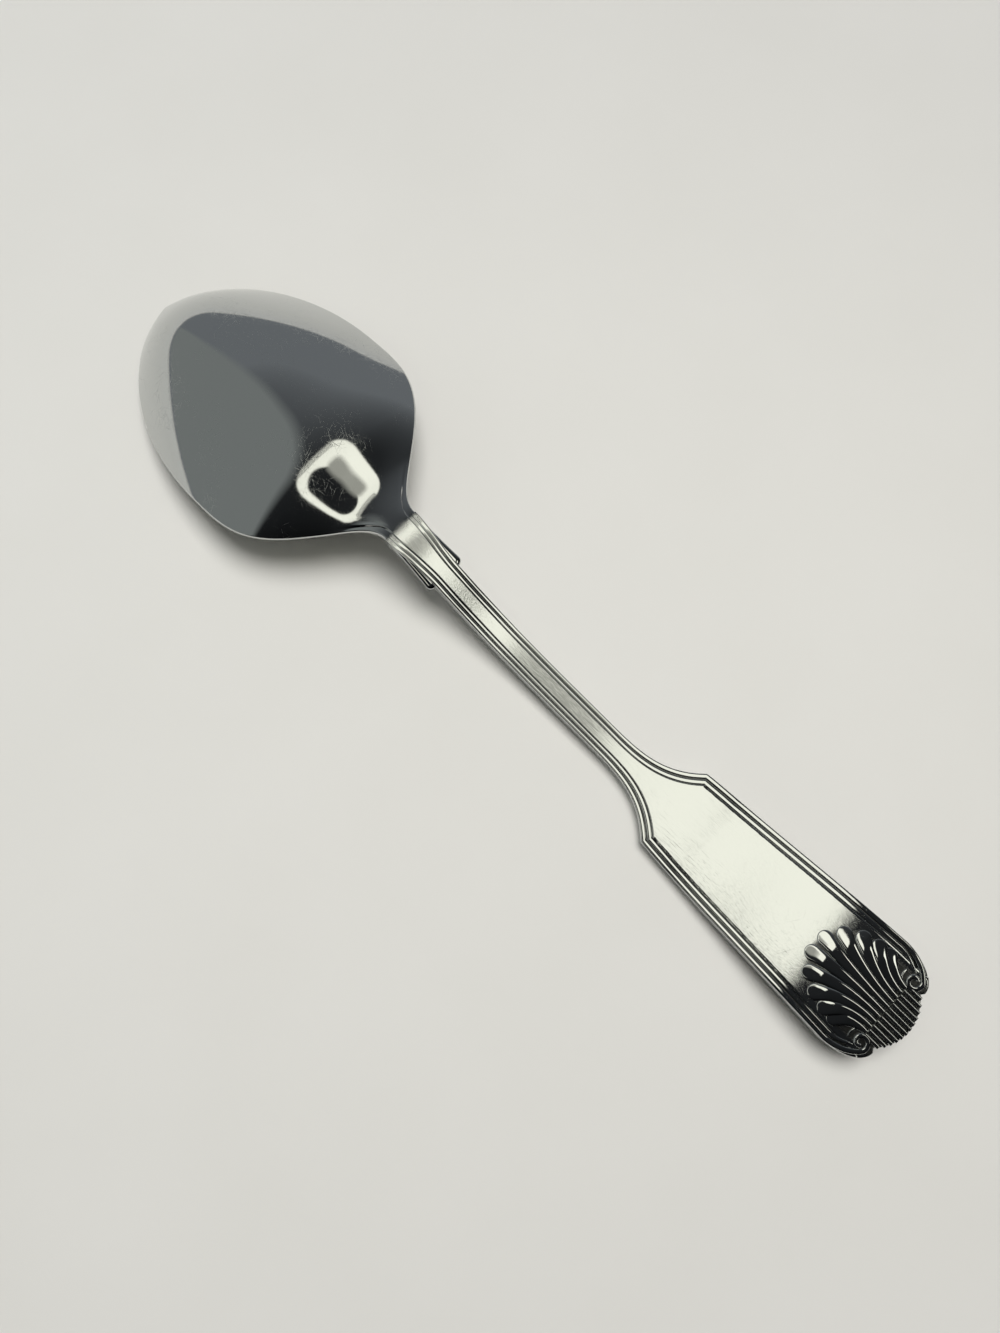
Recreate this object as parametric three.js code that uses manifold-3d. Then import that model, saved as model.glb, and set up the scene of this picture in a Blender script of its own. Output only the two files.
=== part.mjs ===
// Serving spoon in the fiddle, thread and shell style, in polished stainless steel.
// It lies face down, with the back of the bowl and of the handle on top. Millimetres, +Z up,
// +X from the tip of the bowl to the end of the handle, origin on the ground under the spoon's middle.

import * as THREE from 'three';
import { mergeVertices } from 'three/addons/utils/BufferGeometryUtils.js';
import Module from 'manifold-3d';

const wasm = await Module();
wasm.setup();

// Lengths along the spoon, one after the other from the tip of the bowl
const TIP_TO_WIDEST = 30.5;
const WIDEST_TO_NECK = 27;
const NECK_TO_LUG_END = 9.5;
const STEM_LENGTH = 31;
const FLARE_LENGTH = 15.9;
const BLADE_LENGTH = 35;
const CORNER_LENGTH = 6.2;
const FAN_PROUD = 1.6;

// Half widths
const BOWL_HALF = 18.6;
const NECK_HALF = 3;
const LUG_HALF = 3.35;
const STEM_HALF = 2.3;
const SHOULDER_HALF = 6.95;
const BLADE_HALF = 8.95;
const CORNER_RISE = 3.55; // how far a rounded corner reaches across the blade
const NOTCH_WIDTH = 0.5; // between a corner and the fan that stands out in the middle
const NOTCH_DEPTH = 0.45;

// Heights and thicknesses
const RIM = 1; // edge of the bowl
const BOWL_DEPTH = 9.2; // top of the back over the rim
const BOWL_WALL = 1.2;
const NECK_THICKNESS = 3.1;
const STEM_THICKNESS = 2.6;
const BLADE_THICKNESS = 2.3;
const MIDDLE_RISE = 5.2; // rim over the ground at the crown of the bowl
const HEEL_RISE = 8.4; // rim over the ground at the heel
const NECK_RISE = 9; // middle of the neck over the ground
const STEM_RISE = 3.6; // middle of the stem over the ground, behind the lugs
const FLARE_RISE = 1.55; // middle of the stem over the ground, where it starts to widen
const END_LIFT = 3; // end of the handle over the ground

// Places along the spoon that the side view turns on
const CROWN_FROM_TIP = 25;
const HEEL_FROM_NECK = 13;
const STEM_RISE_FROM_LUGS = 10;
const REST_BEFORE_SHOULDER = 4; // flat stretch of the front that touches the ground
const REST_LENGTH = 10;

// Shares of the bowl's depth that its back has on the axis, and of the neck's measures at the heel
const BACK_NEAR_TIP = 0.5;
const BACK_BEFORE_CROWN = 0.83;
const BACK_BEHIND_CROWN = 0.86;
const BACK_AT_HEEL = 0.55;
const BACK_BEHIND_HEEL = 0.13; // of the way from the neck's back up to the heel's
const WALL_AT_HEEL = 0.25; // of the way from the bowl's wall to the neck's thickness
const BLEND_FROM_HEEL = 0.45; // of the way to the neck, where the section starts to turn into the stem's

// Fullness of the curves of the plan, as powers
const TIP_CURVE = 0.57; // an ellipse has one half
const HEEL_CURVE = 3.5;
const HEEL_WAIST = 2.4;
const FLARE_CURVE = 3.5;
const BLADE_CURVE = 0.8;

// Threads: two rounded reeds side by side along both edges, on the back and on the front
const REEDS = 2;
const STEM_BORDER = 1.4; // width of the threaded border on the stem
const BLADE_BORDER = 1.76; // and on the blade
const BORDER_DEPTH = 0.45; // floor of the border under the panel
const REED_SUNK = 0.04; // crest of a reed under the panel
const REED_SHARE = 0.9; // of the pitch of the reeds, the rest is groove
const THREAD_FADE = 4.5; // length over which the threads run out at the neck

// Shell: petals that fan out from a waist, and ribs from the waist to the end
const PETALS = 5; // on each side of the axis
const SHELL_CENTRE_FROM_END = 8.7;
const SHELL_REACH = 7.4; // from the centre towards the bowl
const SHELL_HALF = 5.7;
const SHELL_SPREAD = THREE.MathUtils.degToRad(96);
const SHELL_FAN_CURVE = 1.45; // petals at the axis lie wider apart than those at the corners
const WAIST_FROM_END = 4.2;
const WAIST_HALF = 4.5;
const PETAL_HEAD = 1.2; // half width of the petal at the axis
const PETAL_HEAD_LAST = 1.15; // and of the one at the corner
const PETAL_HEIGHT = 0.6;
const PETAL_BEND = 6.9; // from the waist to where the petal at the axis bends
const PETAL_BEND_LAST = 2.3;
const PETAL_NOSE = [0.97, 0.68]; // places on the round nose, in half widths before the head
const RIBS = 12;
const RIB_MARGIN = 0.1; // from the outermost ribs to the corners of the fan
const RIB_GAP = 0.12; // groove between neighbouring ribs
const RIB_HEIGHT = 0.3;
const WAIST_GAP = 0.3;
const RIB_END_GAP = 0.1; // from a rib to the edge of the fan

// Scrolls in which the threads end, one in each corner
const SCROLL_FROM_CORNER_END = 2.3;
const SCROLL_FROM_EDGE = 3.4;
const SCROLL_TURNS = 0.95;
const SCROLL_EYE = 0.46; // radius at which a scroll ends
const SCROLL_TAPER = 0.8; // width of its end as a share of the reed's
const SCROLL_HEIGHT = 0.42;
const SCROLL_START_HEIGHT = 0.6; // share of it where a corner reed leaves the straight one
const OUTER_REED_TURN = THREE.MathUtils.degToRad(72); // round the corner, up to the scroll
const INNER_REED_TURN = THREE.MathUtils.degToRad(50); // round the corner, up to the scroll's flank
const OUTER_REED_INSET = 1; // from the edge, where the scroll starts
const INNER_REED_INSET = 1.8; // from the edge, where the inner reed ends
const INNER_REED_TAPER = 0.5; // width of its end as a share of the reed's

// Lugs at the sides of the neck
const LUG_THICKNESS = 1.3;
const LUG_ROUND = 0.8; // radius of the round end
const LUG_LEAD = 1; // they grow out of the neck's side from just before its narrowest place
const LUG_SEAT = 0.9; // how deep they are rooted in the stem

// Half-lap joint of the neck: the handle's tongue lies on the back, the bowl's under it
const LAP_LENGTH = 6;
const BRAZE_GAP = 0.1;

// Fineness of the surfaces
const BOWL_ROWS = 24;
const HEEL_ROWS = 9;
const NECK_ROWS = 6;
const STEM_ROWS = 6;
const FLARE_ROWS = 7;
const BLADE_ROWS = 6;
const END_ROWS = 6;
const REED_COLUMNS = [0, 0.2, 0.8, 1]; // shares of a reed's width
const PANEL_COLUMNS = [0.5, 0.33, 0.16, 0]; // shares of the panel's half width, inside the fan
const MITRE_LEAN = 0.7; // share of the border that the shoulder's mitre leans over
const EDGE_STEP = 0.05;
const BEAD_SIDES = 8;
const PETAL_STEPS = 5;
const CORNER_STEPS = 5;
const SCROLL_STEPS = 10;
const LUG_SEGMENTS = 6;
const FAR = 60; // beyond every face of the spoon

// Stations along the spoon
const widestAt = TIP_TO_WIDEST;
const neckAt = widestAt + WIDEST_TO_NECK;
const heelAt = neckAt - HEEL_FROM_NECK;
const lugEndAt = neckAt + NECK_TO_LUG_END;
const flareAt = lugEndAt + STEM_LENGTH;
const shoulderAt = flareAt + FLARE_LENGTH;
const restStart = shoulderAt - REST_BEFORE_SHOULDER;
const restEnd = restStart + REST_LENGTH;
const cornerAt = shoulderAt + BLADE_LENGTH;
const cornerEndAt = cornerAt + CORNER_LENGTH;
const endAt = cornerEndAt + FAN_PROUD;
const waistAt = endAt - WAIST_FROM_END;

const { lerp, smoothstep } = THREE.MathUtils;

// A smooth curve through a few knots [station, value], level at its last one
function spline(knots) {
  const last = knots.length - 1;
  const width = (i) => knots[i + 1][0] - knots[i][0];
  const slope = (i) => (knots[i + 1][1] - knots[i][1]) / width(i);
  const share = [0];
  const bend = [0];
  for (let i = 1; i <= last; i++) {
    const ends = i === last;
    const above = ends ? 0 : width(i);
    const pull = 6 * ((ends ? 0 : slope(i)) - slope(i - 1));
    const pivot = 2 * (width(i - 1) + above) - width(i - 1) * share[i - 1];
    share.push(above / pivot);
    bend.push((pull - width(i - 1) * bend[i - 1]) / pivot);
  }
  for (let i = last - 1; i > 0; i--) {
    bend[i] -= share[i] * bend[i + 1];
  }
  bend[0] = 0;
  return (x) => {
    let i = 0;
    while (i < last - 1 && x > knots[i + 1][0]) {
      i += 1;
    }
    const h = width(i);
    const a = (knots[i + 1][0] - x) / h;
    const b = 1 - a;
    const curve = ((a ** 3 - a) * bend[i] + (b ** 3 - b) * bend[i + 1]) * h * h / 6;
    return a * knots[i][1] + b * knots[i + 1][1] + curve;
  };
}

// Side view: the line of the rim, which becomes the middle of the handle
const climb = spline([
  [0, RIM / 2],
  [CROWN_FROM_TIP, MIDDLE_RISE],
  [heelAt, HEEL_RISE],
  [neckAt, NECK_RISE],
  [lugEndAt + STEM_RISE_FROM_LUGS, STEM_RISE],
  [flareAt, FLARE_RISE],
  [restStart, BLADE_THICKNESS / 2],
]);

function middle(x) {
  return climb(Math.min(x, restStart)) + END_LIFT * smoothstep(x, restEnd, cornerAt);
}

// Height of the back over that line, on the axis
const crownOver = spline([
  [0, RIM / 2],
  [CROWN_FROM_TIP / 5, BOWL_DEPTH * BACK_NEAR_TIP],
  [CROWN_FROM_TIP / 2, BOWL_DEPTH * BACK_BEFORE_CROWN],
  [CROWN_FROM_TIP, BOWL_DEPTH],
  [lerp(CROWN_FROM_TIP, heelAt, 0.5), BOWL_DEPTH * BACK_BEHIND_CROWN],
  [heelAt, BOWL_DEPTH * BACK_AT_HEEL],
  [lerp(heelAt, neckAt, 0.5), lerp(NECK_THICKNESS / 2, BOWL_DEPTH * BACK_AT_HEEL, BACK_BEHIND_HEEL)],
  [neckAt, NECK_THICKNESS / 2],
  [lugEndAt, STEM_THICKNESS / 2],
  [restStart, BLADE_THICKNESS / 2],
]);

function backOver(x) {
  return crownOver(Math.min(x, restStart));
}

const wall = spline([
  [0, RIM],
  [CROWN_FROM_TIP, BOWL_WALL],
  [heelAt, lerp(BOWL_WALL, NECK_THICKNESS, WALL_AT_HEEL)],
  [neckAt, NECK_THICKNESS],
  [lugEndAt, STEM_THICKNESS],
  [restStart, BLADE_THICKNESS],
]);

function thickness(x) {
  return wall(Math.min(x, restStart));
}

// Plan: half the width at a station, up to the rounded corners of the end
function halfWidth(s) {
  if (s < widestAt) {
    return BOWL_HALF * (1 - (1 - s / widestAt) ** 2) ** TIP_CURVE;
  }
  if (s < neckAt) {
    const share = (s - widestAt) / WIDEST_TO_NECK;
    return NECK_HALF + (BOWL_HALF - NECK_HALF) * (1 - share ** HEEL_CURVE) ** HEEL_WAIST;
  }
  if (s < flareAt) {
    return lerp(NECK_HALF, STEM_HALF, smoothstep(s, neckAt, lugEndAt));
  }
  if (s <= shoulderAt) {
    return STEM_HALF + (SHOULDER_HALF - STEM_HALF) * ((s - flareAt) / FLARE_LENGTH) ** FLARE_CURVE;
  }
  return lerp(SHOULDER_HALF, BLADE_HALF, ((s - shoulderAt) / BLADE_LENGTH) ** BLADE_CURVE);
}

// Plan of the end: two rounded corners, a notch beside each, and the fan between them
const lobeHalf = BLADE_HALF - CORNER_RISE;
const fanHalf = lobeHalf - NOTCH_WIDTH;
const fanSag = FAN_PROUD + NOTCH_DEPTH;
const fanRadius = (fanHalf ** 2 + fanSag ** 2) / (2 * fanSag);

function endLine(y) {
  const across = Math.abs(y);
  if (across <= fanHalf) {
    return endAt - fanRadius + Math.sqrt(fanRadius ** 2 - across ** 2);
  }
  if (across <= lobeHalf) {
    return lerp(cornerEndAt - NOTCH_DEPTH, cornerEndAt, (across - fanHalf) / NOTCH_WIDTH);
  }
  const rise = Math.min(1, (across - lobeHalf) / CORNER_RISE);
  return cornerAt + CORNER_LENGTH * Math.sqrt(1 - rise ** 2);
}

// Unit direction from the edge into the blade, mitred at the corner of the shoulder
function edgeNormal(s) {
  const side = (from, to) => {
    const slope = (halfWidth(to) - halfWidth(from)) / (to - from);
    return new THREE.Vector2(slope, -1).normalize();
  };
  const before = side(s - EDGE_STEP, s);
  const after = s < cornerAt ? side(s, s + EDGE_STEP) : before;
  const mitre = before.clone().add(after).normalize();
  return mitre.divideScalar(mitre.dot(before));
}

// Columns of the surface from an edge to the axis: first the reeds, then the panel.
// "border" is the share of the border's width, "crest" the height in it, "panel" the share of the panel.
const columns = [];
for (let reed = 0; reed < REEDS; reed++) {
  for (const share of REED_COLUMNS) {
    const crest = Math.sqrt(1 - (2 * share - 1) ** 2);
    columns.push({ border: (reed + share * REED_SHARE) / REEDS, crest });
  }
}
const panelHalf = BLADE_HALF - BLADE_BORDER;
for (const panel of [1, lobeHalf / panelHalf, fanHalf / panelHalf, ...PANEL_COLUMNS]) {
  columns.push({ panel });
}

function threadHeight(x) {
  const starts = smoothstep(x, neckAt, neckAt + THREAD_FADE);
  const ends = smoothstep(x, cornerAt - BLADE_BORDER, cornerAt);
  return (BORDER_DEPTH - REED_SUNK) * starts * (1 - ends);
}

// One column's place on the handle, for the half with positive Y
function handlePoint(column, s, normal) {
  const border = lerp(STEM_BORDER, BLADE_BORDER, smoothstep(s, flareAt, shoulderAt));
  const inset = border * (column.border ?? 1);
  const x = s + normal.x * inset;
  const y = halfWidth(s) + normal.y * inset;
  const share = column.panel ?? 1;
  return { x: lerp(s, x, share), y: y * share };
}

function handleHeights(column, x) {
  const drop = column.panel === undefined ? BORDER_DEPTH - column.crest * threadHeight(x) : 0;
  const back = middle(x) + backOver(x) - drop;
  const front = middle(x) + backOver(x) - thickness(x) + drop;
  return { back, front };
}

function bowlHeights(v, s) {
  const over = 1 - v ** 2;
  const back = middle(s) + RIM / 2 + (backOver(s) - RIM / 2) * over;
  const front = middle(s) - RIM / 2 + (backOver(s) - thickness(s) + RIM / 2) * over;
  return { back, front };
}

// A row of the surface: points from the edge at negative Y to the edge at positive Y
function row(half) {
  const mirrored = half.slice(0, -1).map((p) => ({ ...p, y: -p.y }));
  return [...mirrored, ...half.reverse()];
}

function rowAt(s) {
  const blend = smoothstep(s, lerp(heelAt, neckAt, BLEND_FROM_HEEL), neckAt);
  const normal = s < neckAt ? new THREE.Vector2(0, -1) : edgeNormal(s);
  return row(columns.map((column, j) => {
    const v = Math.cos((Math.PI / 2) * (j / (columns.length - 1)));
    const place = handlePoint(column, s, normal);
    const x = lerp(s, place.x, blend);
    const y = lerp(halfWidth(s) * v, place.y, blend);
    const bowl = bowlHeights(v, s);
    const handle = handleHeights(column, x);
    const back = lerp(bowl.back, handle.back, blend);
    const front = lerp(bowl.front, handle.front, blend);
    return { x, y, back, front };
  }));
}

// Rows past the start of the rounded corners, run out to the line of the end
function endRow(share) {
  const normal = edgeNormal(cornerAt);
  return row(columns.map((column) => {
    const { x: start, y } = handlePoint(column, cornerAt, normal);
    const x = lerp(start, Math.max(start, endLine(y)), share);
    return { x, y, ...handleHeights(column, x) };
  }));
}

// Equal steps from one value to another, without the first value unless it is given to start with
function spread(from, to, steps, ...start) {
  return [...start, ...Array.from({ length: steps }, (_, i) => lerp(from, to, (i + 1) / steps))];
}

const mitreRoom = BLADE_BORDER * MITRE_LEAN;
const stations = [
  ...Array.from({ length: BOWL_ROWS }, (_, i) => heelAt * (1 - Math.cos((Math.PI / 2) * (i / BOWL_ROWS)))),
  ...spread(heelAt, neckAt, HEEL_ROWS, heelAt),
  ...spread(neckAt, lugEndAt, NECK_ROWS),
  ...spread(lugEndAt, flareAt, STEM_ROWS),
  ...spread(flareAt, shoulderAt - mitreRoom, FLARE_ROWS),
  ...spread(shoulderAt, cornerAt, BLADE_ROWS, shoulderAt),
];

function meshSolid(vertices, triangles) {
  const geometry = new THREE.BufferGeometry();
  geometry.setAttribute('position', new THREE.Float32BufferAttribute(vertices, 3));
  geometry.setIndex(triangles);
  return solid(geometry);
}

// A closed geometry as a solid, without the triangles that have shrunk to an edge
function solid(geometry) {
  geometry.deleteAttribute('normal');
  geometry.deleteAttribute('uv');
  const merged = mergeVertices(geometry, 1e-5);
  const index = merged.index.array;
  const kept = [];
  for (let i = 0; i < index.length; i += 3) {
    const [a, b, c] = index.slice(i, i + 3);
    if (a !== b && b !== c && c !== a) {
      kept.push(a, b, c);
    }
  }
  const vertProperties = new Float32Array(merged.attributes.position.array);
  return new wasm.Manifold(new wasm.Mesh({ numProp: 3, vertProperties, triVerts: new Uint32Array(kept) }));
}

// The whole spoon between its back and its front, without the ornament
function spoonBody() {
  const rows = [...stations.map(rowAt), ...spread(0, 1, END_ROWS).map(endRow)];
  const count = rows[0].length;
  const vertices = [];
  for (const points of rows) {
    vertices.push(...points.flatMap((p) => [p.x, p.y, p.back]));
    vertices.push(...points.flatMap((p) => [p.x, p.y, p.front]));
  }
  const back = (i, j) => 2 * count * i + j;
  const front = (i, j) => back(i, j) + count;
  const triangles = [];
  const quad = (a, b, c, d) => triangles.push(a, b, c, a, c, d);
  for (let i = 0; i < rows.length - 1; i++) {
    for (let j = 0; j < count - 1; j++) {
      quad(back(i, j), back(i + 1, j), back(i + 1, j + 1), back(i, j + 1));
      quad(front(i, j), front(i, j + 1), front(i + 1, j + 1), front(i + 1, j));
    }
    quad(front(i, 0), front(i + 1, 0), back(i + 1, 0), back(i, 0));
    quad(front(i, count - 1), back(i, count - 1), back(i + 1, count - 1), front(i + 1, count - 1));
  }
  const end = rows.length - 1;
  for (let j = 0; j < count - 1; j++) {
    quad(front(end, j), front(end, j + 1), back(end, j + 1), back(end, j));
  }
  return meshSolid(vertices, triangles);
}

// A bead that lies half sunk in the face of the blade, along a path in plan.
// Each ring has a place, a half width, a height and the level of the face there.
function bead(rings) {
  const vertices = [];
  const triangles = [];
  const ringStart = (i) => BEAD_SIDES * i;
  rings.forEach((ring, i) => {
    const from = rings[Math.max(0, i - 1)].place;
    const to = rings[Math.min(rings.length - 1, i + 1)].place;
    const along = to.clone().sub(from).normalize();
    for (let k = 0; k < BEAD_SIDES; k++) {
      const angle = (2 * Math.PI * (k + 0.5)) / BEAD_SIDES;
      const across = ring.half * Math.cos(angle);
      const up = ring.height * Math.sin(angle);
      vertices.push(ring.place.x - along.y * across, ring.place.y + along.x * across, ring.level + up);
    }
  });
  for (let i = 0; i < rings.length - 1; i++) {
    for (let k = 0; k < BEAD_SIDES; k++) {
      const next = (k + 1) % BEAD_SIDES;
      const [a, b] = [ringStart(i) + k, ringStart(i) + next];
      const [c, d] = [ringStart(i + 1) + next, ringStart(i + 1) + k];
      triangles.push(a, b, c, a, c, d);
    }
  }
  const last = ringStart(rings.length - 1);
  for (let k = 1; k < BEAD_SIDES - 1; k++) {
    triangles.push(0, k + 1, k, last, last + k, last + k + 1);
  }
  return meshSolid(vertices, triangles);
}

// Level of a face of the blade: "face" is 1 on the back and -1 on the front
function faceLevel(x, face) {
  return middle(x) + backOver(x) - (face > 0 ? 0 : thickness(x));
}

const petalPitch = WAIST_HALF / PETALS; // at the waist

// Petal number k from the axis, on the side of positive or negative Y
function petal(k, side, face) {
  const share = k / (PETALS - 1);
  const angle = SHELL_SPREAD * (1 - (1 - (k + 0.5) / PETALS) ** SHELL_FAN_CURVE);
  const headHalf = lerp(PETAL_HEAD, PETAL_HEAD_LAST, share);
  const rootHalf = (petalPitch - RIB_GAP) / 2;
  const rootY = petalPitch * (k + 0.5);
  const headX = endAt - SHELL_CENTRE_FROM_END - SHELL_REACH * Math.cos(angle);
  const head = new THREE.Vector2(headX, SHELL_HALF * Math.sin(angle));
  const bend = new THREE.Vector2(waistAt - lerp(PETAL_BEND, PETAL_BEND_LAST, share), rootY);
  const curve = new THREE.QuadraticBezierCurve(head, bend, new THREE.Vector2(waistAt, rootY));
  const back = curve.getTangent(0).negate();
  const rings = PETAL_NOSE.map((reach) => ({
    place: head.clone().addScaledVector(back, headHalf * reach),
    half: headHalf * Math.sqrt(1 - reach ** 2),
  }));
  curve.getSpacedPoints(PETAL_STEPS).forEach((place, i) => {
    rings.push({ place, half: lerp(headHalf, rootHalf, i / PETAL_STEPS) });
  });
  for (const ring of rings) {
    ring.place.y *= side;
    ring.level = faceLevel(ring.place.x, face);
    ring.height = lerp(RIB_HEIGHT, PETAL_HEIGHT, (ring.half - rootHalf) / (headHalf - rootHalf));
  }
  return bead(rings);
}

function rib(k, face) {
  const pitch = (2 * (fanHalf - RIB_MARGIN)) / RIBS;
  const y = pitch * (k - (RIBS - 1) / 2);
  const ends = [waistAt + WAIST_GAP, endLine(y) - RIB_END_GAP];
  return bead(ends.map((x) => ({
    place: new THREE.Vector2(x, y),
    half: (pitch - RIB_GAP) / 2,
    height: RIB_HEIGHT,
    level: faceLevel(x, face),
  })));
}

// Point at an inset from the rounded corner, by the angle from its start
function cornerPoint(angle, inset) {
  const place = new THREE.Vector2(
    cornerAt + CORNER_LENGTH * Math.sin(angle),
    lobeHalf + CORNER_RISE * Math.cos(angle),
  );
  const out = new THREE.Vector2(Math.sin(angle) / CORNER_LENGTH, Math.cos(angle) / CORNER_RISE);
  return place.addScaledVector(out.normalize(), -inset);
}

// A reed round the corner; the outer one winds on into the scroll
function cornerReed(reed, side, face) {
  const pitch = BLADE_BORDER / REEDS;
  const inset = pitch * (reed + 0.5);
  const lead = cornerPoint(0, inset);
  const path = [new THREE.Vector2(cornerAt - BLADE_BORDER, halfWidth(cornerAt - BLADE_BORDER) - inset)];
  const outer = reed === 0;
  const turn = outer ? OUTER_REED_TURN : INNER_REED_TURN;
  const insetTo = outer ? OUTER_REED_INSET : INNER_REED_INSET;
  const taper = outer ? SCROLL_TAPER : INNER_REED_TAPER;
  path.push(lead, ...spread(0, turn, CORNER_STEPS).map((angle) => (
    cornerPoint(angle, lerp(inset, insetTo, smoothstep(angle, 0, turn)))
  )));
  if (outer) {
    const eye = new THREE.Vector2(cornerEndAt - SCROLL_FROM_CORNER_END, BLADE_HALF - SCROLL_FROM_EDGE);
    const from = path.at(-1).clone().sub(eye);
    for (const share of spread(0, 1, SCROLL_STEPS)) {
      const angle = from.angle() - 2 * Math.PI * SCROLL_TURNS * share;
      const radius = lerp(from.length(), SCROLL_EYE, share);
      path.push(new THREE.Vector2(Math.cos(angle), Math.sin(angle)).multiplyScalar(radius).add(eye));
    }
  }
  const half = (pitch * REED_SHARE) / 2;
  return bead(path.map((place, i) => {
    const share = i / (path.length - 1);
    const level = faceLevel(place.x, face);
    const emerge = smoothstep(place.x, cornerAt, cornerAt + CORNER_LENGTH / 2);
    return {
      place: new THREE.Vector2(place.x, place.y * side),
      half: half * lerp(1, taper, share),
      height: SCROLL_HEIGHT * (i === 0 ? SCROLL_START_HEIGHT : 1),
      level: level - face * lerp(BORDER_DEPTH, 0, emerge),
    };
  }));
}

// Thin leaf that grows along the side of the neck and ends in a round hook
function lug(side) {
  const root = new THREE.Vector2(neckAt - LUG_LEAD, NECK_HALF - LUG_SEAT);
  const roundAt = new THREE.Vector2(lugEndAt - LUG_ROUND, LUG_HALF - LUG_ROUND);
  const outline = new THREE.Shape();
  outline.moveTo(root.x, root.y);
  outline.lineTo(root.x, NECK_HALF);
  outline.quadraticCurveTo(lerp(root.x, roundAt.x, 0.5), NECK_HALF, roundAt.x, LUG_HALF);
  outline.absarc(roundAt.x, roundAt.y, LUG_ROUND, Math.PI / 2, -Math.PI / 2, true);
  outline.lineTo(roundAt.x, STEM_HALF - LUG_SEAT);
  const options = { depth: LUG_THICKNESS, bevelEnabled: false, curveSegments: LUG_SEGMENTS };
  const leaf = new THREE.ExtrudeGeometry(outline, options);
  const centre = (root.x + lugEndAt) / 2;
  const fall = Math.atan2(middle(root.x) - middle(lugEndAt), lugEndAt - root.x);
  leaf.translate(-centre, 0, -LUG_THICKNESS / 2);
  leaf.rotateY(fall);
  leaf.translate(centre, 0, middle(centre));
  if (side < 0) {
    leaf.scale(1, -1, 1);
    const { index, attributes } = mergeVertices(leaf.deleteAttribute('normal').deleteAttribute('uv'));
    return meshSolid(attributes.position.array, Array.from(index.array).reverse());
  }
  return solid(leaf);
}

// Everything on the bowl's side of the half-lap joint, grown by a gap
function bowlSide(gap) {
  const lapStart = neckAt - LAP_LENGTH / 2;
  const lapEnd = neckAt + LAP_LENGTH / 2;
  const side = new THREE.Shape();
  side.moveTo(-FAR, -FAR);
  side.lineTo(lapEnd + gap, -FAR);
  side.lineTo(lapEnd + gap, middle(lapEnd) + gap);
  side.lineTo(lapStart + gap, middle(lapStart) + gap);
  side.lineTo(lapStart + gap, FAR);
  side.lineTo(-FAR, FAR);
  const cutter = new THREE.ExtrudeGeometry(side, { depth: 2 * FAR, bevelEnabled: false });
  cutter.rotateX(Math.PI / 2);
  cutter.translate(0, FAR, 0);
  return solid(cutter);
}

function ornament() {
  const pieces = [];
  for (const face of [1, -1]) {
    for (const side of [1, -1]) {
      for (let k = 0; k < PETALS; k++) {
        pieces.push(petal(k, side, face));
      }
      for (let reed = 0; reed < REEDS; reed++) {
        pieces.push(cornerReed(reed, side, face));
      }
    }
    for (let k = 0; k < RIBS; k++) {
      pieces.push(rib(k, face));
    }
  }
  return pieces;
}

function polishedSteel() {
  return new THREE.MeshStandardMaterial({ color: 0xc8cbcc, roughness: 0.12, metalness: 1 });
}

function namedMesh(name, shape) {
  const { vertProperties, triVerts } = shape.getMesh();
  const geometry = new THREE.BufferGeometry();
  geometry.setAttribute('position', new THREE.BufferAttribute(vertProperties, 3));
  geometry.setIndex(new THREE.BufferAttribute(triVerts, 1));
  geometry.computeVertexNormals();
  const mesh = new THREE.Mesh(geometry, polishedSteel());
  mesh.name = name;
  return mesh;
}

const body = spoonBody();
const whole = [lug(1), lug(-1), ...ornament()].reduce((sum, piece) => sum.add(piece), body);

const spoon = new THREE.Group();
spoon.add(namedMesh('bowl', whole.intersect(bowlSide(0))));
spoon.add(namedMesh('handle', whole.subtract(bowlSide(BRAZE_GAP))));
spoon.position.x = -endAt / 2;

export default spoon;
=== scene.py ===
"""Dressed model of a polished serving spoon in the fiddle, thread and shell style, lying face down.

Sizes are in millimetres and become metres where a mesh is made. +X runs from the tip of the bowl to the
end of the handle, +Z is up, and the origin is on the ground under the middle of the spoon's length.
"""

import logging
from dataclasses import dataclass, field
from enum import Enum
from typing import Any, Callable, Sequence

import bmesh
import bpy
import numpy as np
from bpy.types import Material, Node, NodeTree, Object
from mathutils import Matrix, Vector


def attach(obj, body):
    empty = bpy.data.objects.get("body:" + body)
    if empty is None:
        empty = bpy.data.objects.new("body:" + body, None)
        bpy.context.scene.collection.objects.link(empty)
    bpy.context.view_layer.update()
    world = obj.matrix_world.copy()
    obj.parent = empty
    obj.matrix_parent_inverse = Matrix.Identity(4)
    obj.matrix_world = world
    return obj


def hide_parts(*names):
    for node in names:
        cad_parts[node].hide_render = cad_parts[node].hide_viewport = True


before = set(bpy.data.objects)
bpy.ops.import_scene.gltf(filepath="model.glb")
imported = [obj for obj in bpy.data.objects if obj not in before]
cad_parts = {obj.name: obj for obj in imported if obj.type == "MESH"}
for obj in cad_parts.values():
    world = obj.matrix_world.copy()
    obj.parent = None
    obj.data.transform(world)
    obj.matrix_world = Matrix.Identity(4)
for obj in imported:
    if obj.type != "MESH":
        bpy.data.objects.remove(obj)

MM = 0.001
TINY = 1e-6  # mm
BODY = "root"
SUNK = "sunk"  # share by which a place of the skin lies in a groove or between the petals, where shade is painted into the steel's colour
PHOTO_HEIGHT = 1333  # pixels
SHARP = np.radians(50)  # edges that turn by more than this are not smoothed over
MERGED = 1e-7  # m; points closer together than this become one
NO_LENGTH = 1e-8  # m; shorter edges are dropped
NOSE = np.sin(np.linspace(0.1, np.pi / 2 - 0.06, 9))  # places along a round nose, just short of its tip

MATH = "ShaderNodeMath"
VECTOR = "ShaderNodeVectorMath"
RANGE = "ShaderNodeMapRange"
NOISE = "ShaderNodeTexNoise"
MAPPING = "ShaderNodeMapping"

Array = np.ndarray
Curve = Callable[[Array], Array]

log = logging.getLogger("spoon")


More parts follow.
